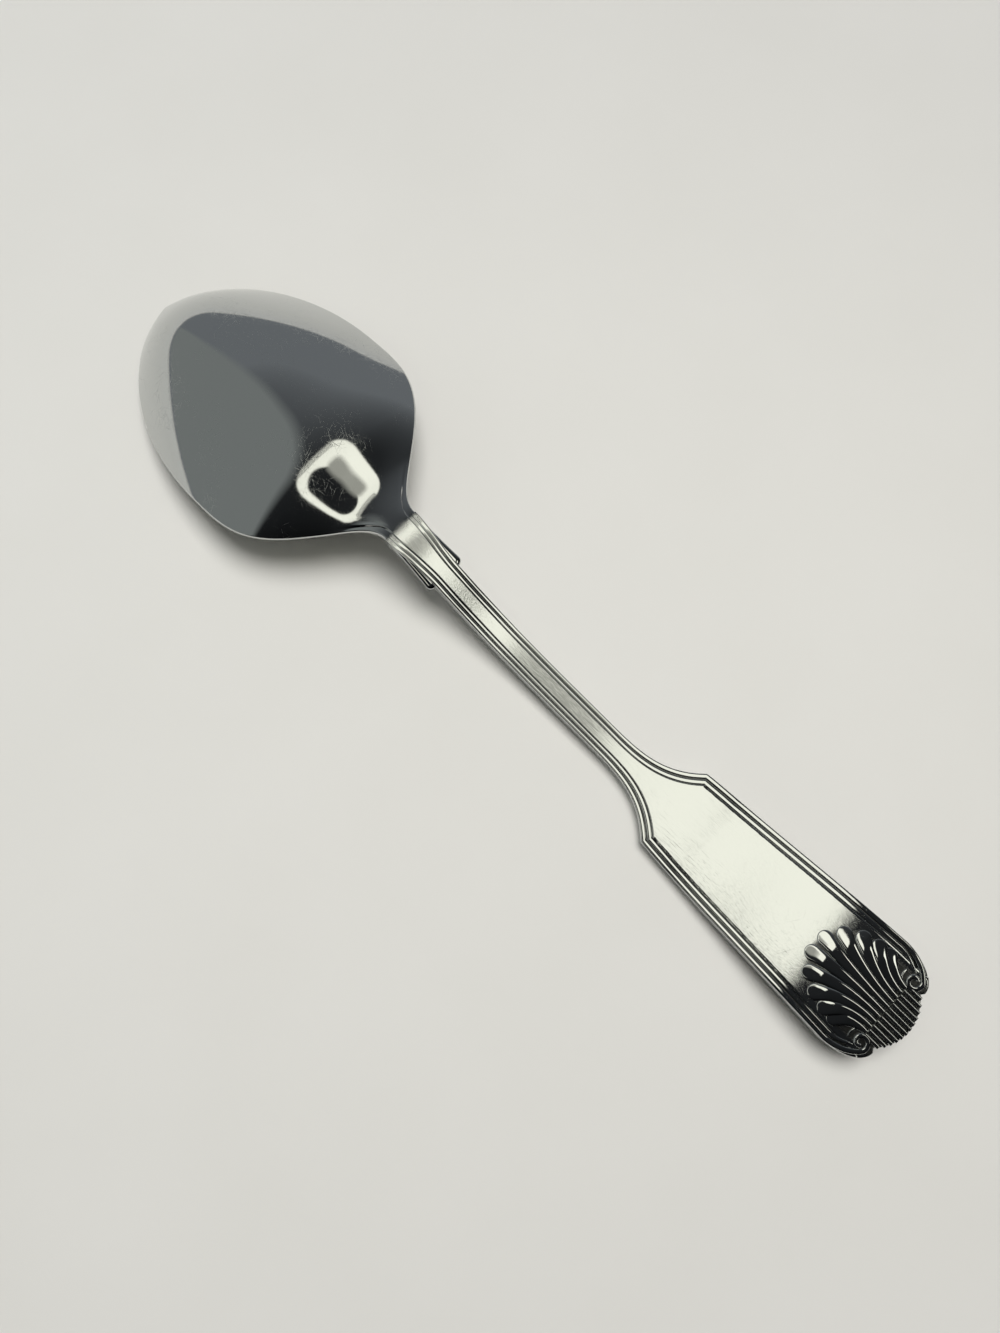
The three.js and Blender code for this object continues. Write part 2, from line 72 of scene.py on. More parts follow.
class Face(Enum):
    """The two broad faces of the handle: its back lies on top."""

    BACK = 1
    FRONT = -1


class Side(Enum):
    """The two sides of the spoon's length."""

    LEFT = 1
    RIGHT = -1


# Small tools


def ease(x: Array, low: float, high: float) -> Array:
    """Rise smoothly from 0 to 1.

    Args:
        x: Where to read the rise.
        low: Where it starts.
        high: Where it ends.

    Returns:
        The share at each x.
    """
    share = np.clip((np.asarray(x, dtype=float) - low) / (high - low), 0, 1)
    return share * share * (3 - 2 * share)


def blend(a: Any, b: Any, share: Any) -> Any:
    """Go from a to b by a share."""
    return a + (b - a) * share


def unit(vectors: Array) -> Array:
    """Scale vectors in the last axis to length 1, and leave empty ones empty."""
    length = np.linalg.norm(vectors, axis=-1, keepdims=True)
    return vectors / np.maximum(length, 1e-12)


def smooth_curve(knots: Sequence[tuple[float, float]]) -> Curve:
    """Lay a smooth curve through knots, free at the first and level at the last.

    Args:
        knots: Pairs of place and value.

    Returns:
        A function from places to values.
    """
    x, y = np.array(knots, dtype=float).T
    gap = np.diff(x)
    slope = np.diff(y) / gap
    count = len(x)
    system = np.zeros((count, count))
    pull = np.zeros(count)
    system[0, 0] = 1
    for i in range(1, count - 1):
        system[i, i - 1 : i + 2] = gap[i - 1], 2 * (gap[i - 1] + gap[i]), gap[i]
        pull[i] = 6 * (slope[i] - slope[i - 1])
    system[-1, -2:] = gap[-1], 2 * gap[-1]
    pull[-1] = -6 * slope[-1]
    bend = np.linalg.solve(system, pull)

    def curve(at: Array) -> Array:
        """Read the curve, which holds its last value past the last knot.

        Args:
            at: Places.

        Returns:
            Values.
        """
        at = np.minimum(np.asarray(at, dtype=float), x[-1])
        i = np.clip(np.searchsorted(x, at) - 1, 0, count - 2)
        a = (x[i + 1] - at) / gap[i]
        b = 1 - a
        bulge = ((a**3 - a) * bend[i] + (b**3 - b) * bend[i + 1]) * gap[i] ** 2 / 6
        return a * y[i] + b * y[i + 1] + bulge

    return curve


def linear(code: str) -> tuple[float, float, float, float]:
    """Turn an sRGB hex colour into linear light.

    Args:
        code: Six hex digits, such as "c9cccb".

    Returns:
        Red, green, blue and an alpha of 1.
    """
    shares = [int(code[i : i + 2], 16) / 255 for i in (0, 2, 4)]
    red, green, blue = (c / 12.92 if c <= 0.04045 else ((c + 0.055) / 1.055) ** 2.4 for c in shares)
    return red, green, blue, 1.0


def add(tree: NodeTree, kind: str, settings: dict[str | int, Any] | None = None, **links: Any) -> Node:
    """Add a node, set it up and link its inputs.

    Args:
        tree: The tree it goes into.
        kind: The node's type.
        settings: Properties by name, and input values by socket name or number.
        links: What feeds its inputs: an output socket, or a node for its first output. An input is given
            by its name with underscores for spaces, or by "input" and its number.

    Returns:
        The new node.
    """
    node = tree.nodes.new(kind)
    for name, value in (settings or {}).items():
        if isinstance(name, str) and hasattr(node, name):
            setattr(node, name, value)
        else:
            node.inputs[name].default_value = value
    for name, source in links.items():
        key = int(name.removeprefix("input")) if name.startswith("input") else name.replace("_", " ")
        socket = source.outputs[0] if isinstance(source, Node) else source
        tree.links.new(socket, node.inputs[key])
    return node


def bare_material(name: str) -> tuple[Material, NodeTree]:
    """Make a material with an empty node tree.

    Args:
        name: The material's name.

    Returns:
        The material and its tree.
    """
    material = bpy.data.materials.new(name)
    material.use_nodes = True
    material.node_tree.nodes.clear()
    return material, material.node_tree


# The spoon's form


@dataclass
class SpoonForm:
    """Side view and plan of the spoon, by stations in millimetres from the tip of the bowl."""

    tip_to_widest: float = 30.5
    widest_to_neck: float = 27.0
    neck_to_lug_end: float = 9.5
    stem_length: float = 31.0
    flare_length: float = 15.9
    blade_length: float = 35.0
    corner_length: float = 6.2
    fan_proud: float = 1.6

    bowl_half: float = 18.6
    neck_half: float = 3.0
    lug_half: float = 3.35
    stem_half: float = 2.3
    shoulder_half: float = 6.95
    blade_half: float = 8.95
    corner_rise: float = 3.55
    notch_width: float = 0.5
    notch_depth: float = 0.45

    rim: float = 1.0
    bowl_depth: float = 9.2
    bowl_wall: float = 1.2
    neck_thickness: float = 3.1
    stem_thickness: float = 2.6
    blade_thickness: float = 2.3
    middle_rise: float = 5.2
    heel_rise: float = 8.4
    neck_rise: float = 9.0
    stem_rise: float = 3.6
    flare_rise: float = 1.55
    end_lift: float = 3.0

    crown_from_tip: float = 25.0
    heel_from_neck: float = 13.0
    stem_rise_from_lugs: float = 10.0
    rest_before_shoulder: float = 4.0
    rest_length: float = 10.0
    shell_from_end: float = 8.7

    near_tip: float = 0.2  # of the way from the tip to the crown
    back_near_tip: float = 0.5  # shares of the bowl's depth by which the back stands over the rim line
    back_before_crown: float = 0.83
    back_after_crown: float = 0.86
    back_at_heel: float = 0.55
    back_behind_heel: float = 0.13  # share of the heel's height that is left halfway to the neck
    wall_at_heel: float = 0.25  # share by which the bowl's wall has grown to the neck's

    tip_curve: float = 0.57  # powers of the curves in plan
    heel_start_curve: float = 3.5
    heel_end_curve: float = 2.4
    flare_curve: float = 3.5
    blade_curve: float = 0.8

    stem_border: float = 1.4
    blade_border: float = 1.76
    border_depth: float = 0.25
    lap_length: float = 6.0
    shoulder_clear: tuple[float, float] = (0.65, 0.8)  # free of stations before and after the shoulder

    widest_at: float = field(init=False)
    neck_at: float = field(init=False)
    lap_start: float = field(init=False)
    lap_end: float = field(init=False)
    heel_at: float = field(init=False)
    lug_end_at: float = field(init=False)
    flare_at: float = field(init=False)
    shoulder_at: float = field(init=False)
    rest_start: float = field(init=False)
    rest_end: float = field(init=False)
    corner_at: float = field(init=False)
    corner_end_at: float = field(init=False)
    end_at: float = field(init=False)
    shell_at: float = field(init=False)

    def __post_init__(self) -> None:
        """Work out the stations and the curves of the side view."""
        self.widest_at = self.tip_to_widest
        self.neck_at = self.widest_at + self.widest_to_neck
        self.lap_start = self.neck_at - self.lap_length / 2
        self.lap_end = self.neck_at + self.lap_length / 2
        self.heel_at = self.neck_at - self.heel_from_neck
        self.lug_end_at = self.neck_at + self.neck_to_lug_end
        self.flare_at = self.lug_end_at + self.stem_length
        self.shoulder_at = self.flare_at + self.flare_length
        self.rest_start = self.shoulder_at - self.rest_before_shoulder
        self.rest_end = self.rest_start + self.rest_length
        self.corner_at = self.shoulder_at + self.blade_length
        self.corner_end_at = self.corner_at + self.corner_length
        self.end_at = self.corner_end_at + self.fan_proud
        self.shell_at = self.end_at - self.shell_from_end
        crown, depth, neck = self.crown_from_tip, self.bowl_depth, self.neck_thickness / 2
        heel_back = depth * self.back_at_heel
        self._climb = smooth_curve([
            (0, self.rim / 2), (crown, self.middle_rise), (self.heel_at, self.heel_rise),
            (self.neck_at, self.neck_rise), (self.lug_end_at + self.stem_rise_from_lugs, self.stem_rise),
            (self.flare_at, self.flare_rise), (self.rest_start, self.blade_thickness / 2),
        ])
        self._back = smooth_curve([
            (0, self.rim / 2), (crown * self.near_tip, depth * self.back_near_tip),
            (crown / 2, depth * self.back_before_crown), (crown, depth),
            (blend(crown, self.heel_at, 0.5), depth * self.back_after_crown), (self.heel_at, heel_back),
            (blend(self.heel_at, self.neck_at, 0.5), blend(neck, heel_back, self.back_behind_heel)),
            (self.neck_at, neck), (self.lug_end_at, self.stem_thickness / 2),
            (self.rest_start, self.blade_thickness / 2),
        ])
        self._wall = smooth_curve([
            (0, self.rim), (crown, self.bowl_wall),
            (self.heel_at, blend(self.bowl_wall, self.neck_thickness, self.wall_at_heel)),
            (self.neck_at, self.neck_thickness), (self.lug_end_at, self.stem_thickness),
            (self.rest_start, self.blade_thickness),
        ])

    def middle(self, x: Array) -> Array:
        """Give the height of the rim line, which becomes the middle of the handle."""
        return self._climb(x) + self.end_lift * ease(x, self.rest_end, self.corner_at)

    def back_over(self, x: Array) -> Array:
        """Give the height of the back over the middle line, on the axis."""
        return self._back(x)

    def thickness(self, x: Array) -> Array:
        """Give the thickness on the axis."""
        return self._wall(x)

    def half_width(self, s: Array) -> Array:
        """Give half the width of the plan up to the rounded corners of the end.

        Args:
            s: Stations from the tip.

        Returns:
            Half widths.
        """
        s = np.asarray(s, dtype=float)
        to_widest = 1 - np.minimum(s / self.widest_at, 1)
        tip = self.bowl_half * np.maximum(0, 1 - to_widest**2) ** self.tip_curve
        heel_share = np.clip((s - self.widest_at) / self.widest_to_neck, 0, 1)
        narrowing = (1 - heel_share**self.heel_start_curve) ** self.heel_end_curve
        heel = blend(self.neck_half, self.bowl_half, narrowing)
        stem = blend(self.neck_half, self.stem_half, ease(s, self.neck_at, self.lug_end_at))
        flare_share = np.clip((s - self.flare_at) / self.flare_length, 0, 1)
        flare = blend(self.stem_half, self.shoulder_half, flare_share**self.flare_curve)
        blade_share = np.maximum(0, s - self.shoulder_at) / self.blade_length
        blade = blend(self.shoulder_half, self.blade_half, blade_share**self.blade_curve)
        return np.select(
            [s < self.widest_at, s < self.neck_at, s < self.flare_at, s <= self.shoulder_at],
            [tip, heel, stem, flare], blade,
        )

    def edge_normal(self, s: Array) -> Array:
        """Give the plan direction from the edge into the metal, mitred at the shoulder's corner.

        Args:
            s: Stations from the tip.

        Returns:
            Vectors in plan whose length keeps an inset even on both sides of a corner.
        """
        step = 0.02
        s = np.asarray(s, dtype=float)
        here = self.half_width(s)
        before = (here - self.half_width(s - step)) / step
        after = (self.half_width(s + step) - here) / step
        after = np.where(s < self.corner_at, after, before)
        first = unit(np.stack([before, -np.ones_like(s)], -1))
        second = unit(np.stack([after, -np.ones_like(s)], -1))
        mitre = unit(first + second)
        mitre = mitre / np.sum(mitre * first, -1, keepdims=True)
        straight = np.stack([np.zeros_like(s), -np.ones_like(s)], -1)
        return np.where((s < self.neck_at)[..., None], straight, mitre)

    def about_shoulder(self, start: float, before: int, after: int) -> Array:
        """Give stations up to the corners, one of them on the shoulder and none close to it.

        Args:
            start: The first station.
            before: Count up to the shoulder.
            after: Count from the shoulder on.

        Returns:
            The stations.
        """
        near, far = self.shoulder_clear
        return np.concatenate([
            np.linspace(start, self.shoulder_at - near, before), [self.shoulder_at],
            np.linspace(self.shoulder_at + far, self.corner_at, after),
        ])

    @property
    def lobe_half(self) -> float:
        """Half the width between the tops of the rounded corners."""
        return self.blade_half - self.corner_rise

    @property
    def fan_half(self) -> float:
        """Half the width of the fan that stands out between the corners."""
        return self.lobe_half - self.notch_width

    def end_line(self, y: Array, inset: float = 0.0) -> Array:
        """Give the plan of the end: rounded corners, a notch beside each, and the fan between them.

        Args:
            y: Places across the blade.
            inset: Distance inside the line.

        Returns:
            Stations of the line.
        """
        across = np.abs(y)
        sag = self.fan_proud + self.notch_depth
        radius = (self.fan_half**2 + sag**2) / (2 * sag)
        fan = self.end_at - radius + np.sqrt(np.maximum(0, radius**2 - across**2))
        notch = self.corner_end_at - self.notch_depth * (self.lobe_half - across) / self.notch_width
        rise = np.clip((across - self.lobe_half) / (self.corner_rise - inset), 0, 1)
        corner = self.corner_at + (self.corner_length - inset) * np.sqrt(1 - rise**2)
        inner = np.where(across <= self.fan_half, fan, notch) - inset
        return np.where(across <= self.lobe_half, inner, corner)

    def border(self, s: Array) -> Array:
        """Give the width of the threaded border."""
        return blend(self.stem_border, self.blade_border, ease(s, self.flare_at, self.shoulder_at))

    def level(self, x: Array, face: Face) -> Array:
        """Give the height of a face of the handle on the axis."""
        top = self.middle(x) + self.back_over(x)
        return top if face is Face.BACK else top - self.thickness(x)

    def place(self, points: Array) -> Array:
        """Turn points by station into metres about the spoon's origin."""
        return (points - np.array([self.end_at / 2, 0, 0])) * MM


# Finishes


@dataclass(frozen=True)
class PolishedSteel:
    """Stainless steel, forged, then polished to a mirror on a buffing wheel.

    It gives the eye clear dark and bright reflections, softened a little by fine buffing lines along the
    piece, and by hairline scratches in the patches that are worn from use.
    """

    name: str
    colour: str = "c6c8c7"
    roughness: float = 0.05
    line_width: float = 0.12  # mm; the real lines are finer, and are drawn this coarse to show
    line_length: float = 14.0  # mm
    line_range: tuple[float, float] = (0.35, 0.75)  # levels of the noise between which a line grows rough
    line_roughness: float = 0.05
    line_depth: float = 0.0006  # mm
    painted_shade_colour: str = "2b2a28"  # painted shade: a dark colour laid over the sunk places
    painted_shade_share: float = 0.8
    painted_shade_roughness: float = 0.3
    scratch_turns: tuple[float, ...] = (15.0, 62.0, 110.0, 152.0)  # degrees about the upright
    scratch_length: float = 3.0  # mm
    scratch_width: float = 0.1  # mm; the real ones are finer, and are drawn this coarse to show
    scratch_rarity: float = 0.7  # level of the noise over which a scratch shows
    scratch_edge: float = 0.06  # more of the noise, at which it is whole
    scratch_roughness: float = 0.15
    wear_patch: float = 7.0  # mm
    wear_range: tuple[float, float] = (0.42, 0.6)  # levels of the noise between which a patch is worn
    wave_size: float = 9.0  # mm
    wave_depth: float = 0.004  # mm

    def _scratches(self, tree: NodeTree, place: Any) -> Node:
        """Lay hairlines in several directions over each other.

        Args:
            tree: The material's tree.
            place: Where on the piece, in metres.

        Returns:
            The node that gives the share of a scratch.
        """
        size = (self.scratch_length * MM, self.scratch_width * MM, self.scratch_length * MM)
        shows = {"From Min": self.scratch_rarity, "From Max": self.scratch_rarity + self.scratch_edge}
        scratches = None
        for turn in self.scratch_turns:
            laid = {"vector_type": "TEXTURE", "Rotation": (0, 0, np.radians(turn)), "Scale": size}
            turned = add(tree, MAPPING, laid, Vector=place)
            grain = add(tree, NOISE, {"Scale": 1.0, "Detail": 1.0}, Vector=turned)
            hairline = add(tree, RANGE, shows, Value=grain)
            if scratches:
                hairline = add(tree, MATH, {"operation": "MAXIMUM"}, input0=scratches, input1=hairline)
            scratches = hairline
        return scratches

    def make(self) -> Material:
        """Build the material's nodes.

        Returns:
            The material.
        """
        material, tree = bare_material(self.name)
        place = add(tree, "ShaderNodeTexCoord").outputs["Object"]
        fine = 1 / (self.line_width * MM)
        stretched = add(tree, MAPPING, {"Scale": (1 / (self.line_length * MM), fine, fine)}, Vector=place)
        lines = add(tree, NOISE, {"Scale": 1.0, "Detail": 3.0}, Vector=stretched)
        patches = add(tree, NOISE, {"Scale": 1 / (self.wear_patch * MM), "Detail": 2.0}, Vector=place)
        least, most = self.wear_range
        worn = add(tree, RANGE, {"From Min": least, "From Max": most}, Value=patches)
        scratches = self._scratches(tree, place)
        scratched = add(tree, MATH, {"operation": "MULTIPLY"}, input0=scratches, input1=worn)
        least, most = self.line_range
        smooth, rough = self.roughness, self.roughness + self.line_roughness
        grows = {"From Min": least, "From Max": most, "To Min": smooth, "To Max": rough}
        lined = add(tree, RANGE, grows, Value=lines)
        roughens = {"operation": "MULTIPLY_ADD", 1: self.scratch_roughness}
        marked = add(tree, MATH, roughens, input0=scratched, input2=lined)
        waves = add(tree, NOISE, {"Scale": 1 / (self.wave_size * MM), "Detail": 0.0}, Vector=place)
        wavy = add(
            tree, "ShaderNodeBump", {"Strength": 1.0, "Distance": self.wave_depth * MM}, Height=waves
        )
        buffed = add(
            tree, "ShaderNodeBump", {"Strength": 1.0, "Distance": self.line_depth * MM},
            Height=lines, Normal=wavy,
        )
        # Painted shade: the sunk places are darkened towards a dark colour and given more roughness.
        sunk = add(tree, "ShaderNodeAttribute", {"attribute_name": SUNK}).outputs["Fac"]
        painted_shade_amount = add(tree, MATH, {"operation": "MULTIPLY", 1: self.painted_shade_share}, input0=sunk)
        colour = add(
            tree, "ShaderNodeMix", {"data_type": "RGBA", 6: linear(self.colour), 7: linear(self.painted_shade_colour)},
            input0=painted_shade_amount,
        )
        dulled = add(
            tree, MATH, {"operation": "MULTIPLY_ADD", 1: self.painted_shade_roughness}, input0=painted_shade_amount, input2=marked
        )
        steel = add(
            tree, "ShaderNodeBsdfPrincipled", {"Metallic": 1.0},
            Base_Color=colour.outputs[2], Roughness=dulled, Normal=buffed,
        )
        add(tree, "ShaderNodeOutputMaterial", Surface=steel)
        return material


@dataclass(frozen=True)
class PaleFloor:
    """Matt painted board in a pale warm grey, with a faint unevenness."""

    name: str = "pale_board"
    colour: str = "e8e6e1"
    shade: str = "e2e0da"
    roughness: float = 0.7
    patch: float = 30.0  # mm

    def make(self) -> Material:
        """Build the material's nodes.

        Returns:
            The material.
        """
        material, tree = bare_material(self.name)
        place = add(tree, "ShaderNodeTexCoord").outputs["Object"]
        noise = add(tree, NOISE, {"Scale": 1 / (self.patch * MM), "Detail": 4.0}, Vector=place)
        paint = add(
            tree, "ShaderNodeMix", {"data_type": "RGBA", 6: linear(self.colour), 7: linear(self.shade)},
            input0=noise,
        )
        board = add(
            tree, "ShaderNodeBsdfPrincipled", {"Roughness": self.roughness}, Base_Color=paint.outputs[2]
        )
        add(tree, "ShaderNodeOutputMaterial", Surface=board)
        return material


# Meshes


def new_piece(name: str, vertices: Array, faces: Sequence[Sequence[int]], material: Material) -> Object:
    """Make a mesh object at the origin.

    Args:
        name: The piece's name.
        vertices: Points in metres.
        faces: Vertex numbers of each face.
        material: Its finish.

    Returns:
        The object, linked into the scene.
    """
    mesh = bpy.data.meshes.new(name)
    mesh.from_pydata(vertices.tolist(), [], [list(face) for face in faces])
    mesh.materials.append(material)
    obj = bpy.data.objects.new(name, mesh)
    bpy.context.scene.collection.objects.link(obj)
    return obj


def close_up(obj: Object) -> None:
    """Merge doubles, drop what has no area, turn faces outwards and shade smooth.

    Args:
        obj: The piece.
    """
    work = bmesh.new()
    work.from_mesh(obj.data)
    bmesh.ops.remove_doubles(work, verts=work.verts, dist=MERGED)
    bmesh.ops.dissolve_degenerate(work, edges=work.edges, dist=NO_LENGTH)
    bmesh.ops.recalc_face_normals(work, faces=work.faces)
    for face in work.faces:
        face.smooth = True
    for edge in work.edges:
        edge.smooth = len(edge.link_faces) != 2 or edge.calc_face_angle() < SHARP
    work.to_mesh(obj.data)
    work.free()


def carry(obj: Object, *nodes: str) -> None:
    """Let a finished piece ride on the spoon and stand for its solids.

    Args:
        obj: The piece.
        nodes: Solids that it stands for.
    """
    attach(obj, BODY)
    if nodes:
        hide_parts(*nodes)
    log.info("%s: %d faces", obj.name, len(obj.data.polygons))


# Bowl and handle


@dataclass
class SpoonBody:
    """Bowl and handle as one lofted skin, parted at the half-lap joint of the neck."""

    form: SpoonForm
    tip_rows: int = 80
    heel_rows: int = 40
    lug_rows: int = 24
    stem_rows: int = 40
    flare_rows: int = 36
    blade_rows: int = 50
    end_rows: int = 30
    wall_rows: int = 7
    border_columns: int = 9
    border_crowding: float = 1.7  # power that sets the columns closer together at the edge
    step_columns: int = 5
    panel_columns: int = 22
    cap_columns: int = 7
    step_share: float = 0.9  # of the border, where its floor turns up to the panel
    edge_round: float = 0.3
    edge_curve: float = 0.6  # power of the rounding; 1 gives an ellipse
    rim_round: float = 0.45
    rim_up: float = 0.2  # edge of the back over the rim line
    rim_inset: float = 0.14
    handle_from_heel: float = 0.45  # of the way to the neck, where the handle's section starts to show
    shell_reach: float = 8.2  # ground of the shell, where shade is painted between its petals
    shell_half: float = 6.6
    shell_fade: float = 0.9  # share of its reach at which the painted shade starts to fade

    def __post_init__(self) -> None:
        """Lay out the columns of half a section, from the edge to the axis."""
        form = self.form
        floor = np.linspace(0, 1, self.border_columns) ** self.border_crowding * self.step_share
        rise = np.linspace(self.step_share, 1, self.step_columns + 1)[1:-1]
        panel_half = form.blade_half - form.blade_border
        shares = set(np.linspace(1, 0, self.panel_columns).round(6))
        shares |= {round(form.lobe_half / panel_half, 6), round(form.fan_half / panel_half, 6)}
        panel = np.array(sorted(shares, reverse=True))
        self.inset = np.concatenate([floor, rise, np.ones(len(panel))])
        self.share = np.concatenate([np.ones(len(floor) + len(rise)), panel])
        climb = ease(self.inset, self.step_share, 1)
        self.drop = (1 - climb) * form.border_depth
        self.half_count = len(self.inset)
        self.across = np.cos(np.pi / 2 * np.linspace(0, 1, self.half_count))

    def stations(self) -> Array:
        """Give the stations of the rows, closer together where the form turns quickly.

        Returns:
            Stations from the tip to the start of the rounded corners.
        """
        form = self.form
        runs = [
            form.heel_at * (1 - np.cos(np.pi / 2 * np.linspace(0, 1, self.tip_rows))),
            np.linspace(form.heel_at, form.neck_at, self.heel_rows),
            np.linspace(form.neck_at, form.lug_end_at, self.lug_rows),
            np.linspace(form.lug_end_at, form.flare_at, self.stem_rows),
            form.about_shoulder(form.flare_at, self.flare_rows, self.blade_rows),
            [form.lap_start, form.lap_end],
        ]
        return np.unique(np.concatenate(runs).round(6))

    def _ring(self, back: Array, cap: Array, front: Array) -> Array:
        """Join the half sections into closed rings.

        Args:
            back: Half of the back from the edge to the axis, rows by columns by 3.
            cap: The edge from the back to the front.
            front: Half of the front from the edge to the axis.

        Returns:
            Rings: back from left to right, right edge, front from right to left, left edge.
        """
        flip = np.array([1, -1, 1])
        return np.concatenate([
            back, back[:, -2::-1] * flip, cap * flip, front * flip, front[:, -2::-1], cap[:, ::-1],
        ], axis=1)

    def bowl_rings(self, s: Array) -> Array:
        """Make the bowl's sections: a curved shell of even wall with a rounded rim.

        Args:
            s: Stations.

        Returns:
            Closed rings.
        """
        form = self.form
        step = 1e-3
        half = form.half_width(s)
        slope = (form.half_width(s + step) - form.half_width(np.maximum(s - step, 0))) / (2 * step)
        out = unit(np.stack([-slope, np.ones_like(s)], -1))
        out[half < TINY] = (-1, 0)
        x = (s - out[:, 0] * self.rim_inset)[:, None]
        y = np.maximum(0, half - out[:, 1] * self.rim_inset)[:, None] * self.across
        over = 1 - self.across**2
        z = form.middle(x) + self.rim_up + (form.back_over(x) - self.rim_up) * over
        back = np.stack(np.broadcast_arrays(x, y, z), -1)
        along = np.gradient(back, axis=0)
        normal = unit(np.cross(along, np.gradient(back, axis=1)))
        normal *= np.where(normal[..., 2:] < 0, -1, 1)
        normal[0] = normal[1]
        normal[:, -1, 1] = 0
        wall = blend(2 * self.rim_round, form.thickness(x), over)[..., None]
        front = back - unit(normal) * wall
        front[:, -1, 1] = 0
        edge, lean = back[:, :1], normal[:, :1]
        centre = edge - lean * self.rim_round
        outward = np.cross(along[:, :1], lean)
        outward[0] = np.cross((0.0, 1.0, 0.0), lean[0])
        outward = unit(outward)
        outward *= np.where(np.sum(outward[..., :2] * out[:, None], -1, keepdims=True) < 0, -1, 1)
        turn = np.linspace(0, np.pi, self.cap_columns + 2)[1:-1, None]
        cap = centre + self.rim_round * (np.cos(turn) * lean + np.sin(turn) * outward)
        cap[0, :, 1] = 0
        return self._ring(back, cap, front)

    def _edge(self, turn: Array) -> tuple[Array, Array]:
        """Give how far a rounded edge stands out, and its height as a share of the half thickness."""
        bulge = np.abs(np.cos(turn)) ** self.edge_curve * self.edge_round
        return bulge, np.sign(turn) * np.abs(np.sin(turn)) ** self.edge_curve

    def _handle_half(self, x: Array, y: Array, out: Array) -> tuple[Array, Array, Array]:
        """Give the two faces and the rounded edge over a plan.

        Args:
            x: Stations, rows by columns.
            y: Places across.
            out: Plan direction out of the edge, one for each row.

        Returns:
            Back, edge and front.
        """
        form = self.form
        top = form.middle(x) + form.back_over(x)
        back = np.stack([x, y, top - self.drop], -1)
        front = np.stack([x, y, top - form.thickness(x) + self.drop], -1)
        bulge, lift = self._edge(np.linspace(np.pi / 2, -np.pi / 2, self.cap_columns + 2)[1:-1])
        edge_x = x[:, :1] + out[:, :1] * bulge
        edge_y = y[:, :1] + out[:, 1:] * bulge
        middle = (back[:, :1, 2] + front[:, :1, 2]) / 2
        reach = (back[:, :1, 2] - front[:, :1, 2]) / 2
        cap = np.stack([edge_x, edge_y, middle + reach * lift], -1)
        return back, cap, front

    def _plan(self, s: Array) -> tuple[Array, Array, Array]:
        """Give the plan of the handle's columns.

        Args:
            s: Stations.

        Returns:
            Stations and places across, rows by columns, and the direction out of the edge of each row.
        """
        form = self.form
        normal = form.edge_normal(s)
        inset = self.edge_round + (form.border(s) - self.edge_round)[:, None] * self.inset
        x = s[:, None] + normal[:, :1] * inset
        y = form.half_width(s)[:, None] + normal[:, 1:] * inset
        return blend(s[:, None], x, self.share), y * self.share, -unit(normal)

    def handle_rings(self, s: Array) -> Array:
        """Make the handle's sections: a panel between two sunk borders, on both faces."""
        return self._ring(*self._handle_half(*self._plan(s)))

    def end_rings(self, shares: Array) -> Array:
        """Run the columns on from the start of the corners to the line of the end.

        Args:
            shares: Parts of the way.

        Returns:
            Closed rings.
        """
        form = self.form
        start_x, y, out = self._plan(np.full(len(shares), form.corner_at))
        reach = np.maximum(start_x, form.end_line(y, self.edge_round))
        return self._ring(*self._handle_half(blend(start_x, reach, shares[:, None]), y, out))

    def end_wall(self, last: Array) -> Array:
        """Close the end with a rounded wall from the back to the front.

        Args:
            last: The last ring.

        Returns:
            Wall rows from back to front, each from left to right.
        """
        form = self.form
        count = 2 * self.half_count - 1
        back = last[:count]
        front = last[count + self.cap_columns : 2 * count + self.cap_columns][::-1]
        y = back[:, 1]
        step = 1e-3
        ahead, behind = (form.end_line(y + move, self.edge_round) for move in (step, -step))
        out = unit(np.stack([np.ones_like(y), (behind - ahead) / (2 * step)], -1))
        out[0] = -unit(form.edge_normal(np.array([form.corner_at])))[0]
        out[-1] = out[0] * (1, -1)
        bulge, lift = self._edge(np.linspace(np.pi / 2, -np.pi / 2, self.wall_rows + 2)[:, None])
        middle = (back[:, 2] + front[:, 2]) / 2
        reach = (back[:, 2] - front[:, 2]) / 2
        plan = back[:, :2] + out * bulge[..., None]
        height = middle + reach * lift
        return np.concatenate([plan, height[..., None]], -1)

    def rings(self) -> tuple[Array, Array]:
        """Make every ring of the spoon.

        Returns:
            Stations of the rows, and their rings.
        """
        form = self.form
        s = self.stations()
        start = blend(form.heel_at, form.neck_at, self.handle_from_heel)
        share = ease(s, start, form.neck_at)[:, None, None]
        # Past the neck the bowl's rows no longer show, and only have to lie apart.
        bowl = self.bowl_rings(np.minimum(s, form.neck_at + np.arange(len(s)) * TINY))
        handle = self.handle_rings(s)
        rings = np.where(share < 1, blend(bowl, handle, share), handle)
        ends = self.end_rings(np.linspace(0, 1, self.end_rows)[1:])
        return np.concatenate([s, np.full(len(ends), form.end_at)]), np.concatenate([rings, ends])

    def sunk(self, rings: Array) -> Array:
        """Tell how far each place of the skin lies in a groove or between the petals, where shade is
        painted.

        Args:
            rings: Rings of the handle.

        Returns:
            Shares, one for each point.
        """
        form = self.form
        half = self.drop / form.border_depth
        cap = np.zeros(self.cap_columns)
        column = np.concatenate([half, half[-2::-1], cap, half, half[-2::-1], cap])
        x, y = rings[..., 0], rings[..., 1]
        border = column * ease(x, form.neck_at, form.lug_end_at)
        before = x - form.shell_at
        reach = np.hypot(np.minimum(before, 0) / self.shell_reach, y / self.shell_half)
        return np.maximum(border, 1 - ease(reach, self.shell_fade, 1.0))

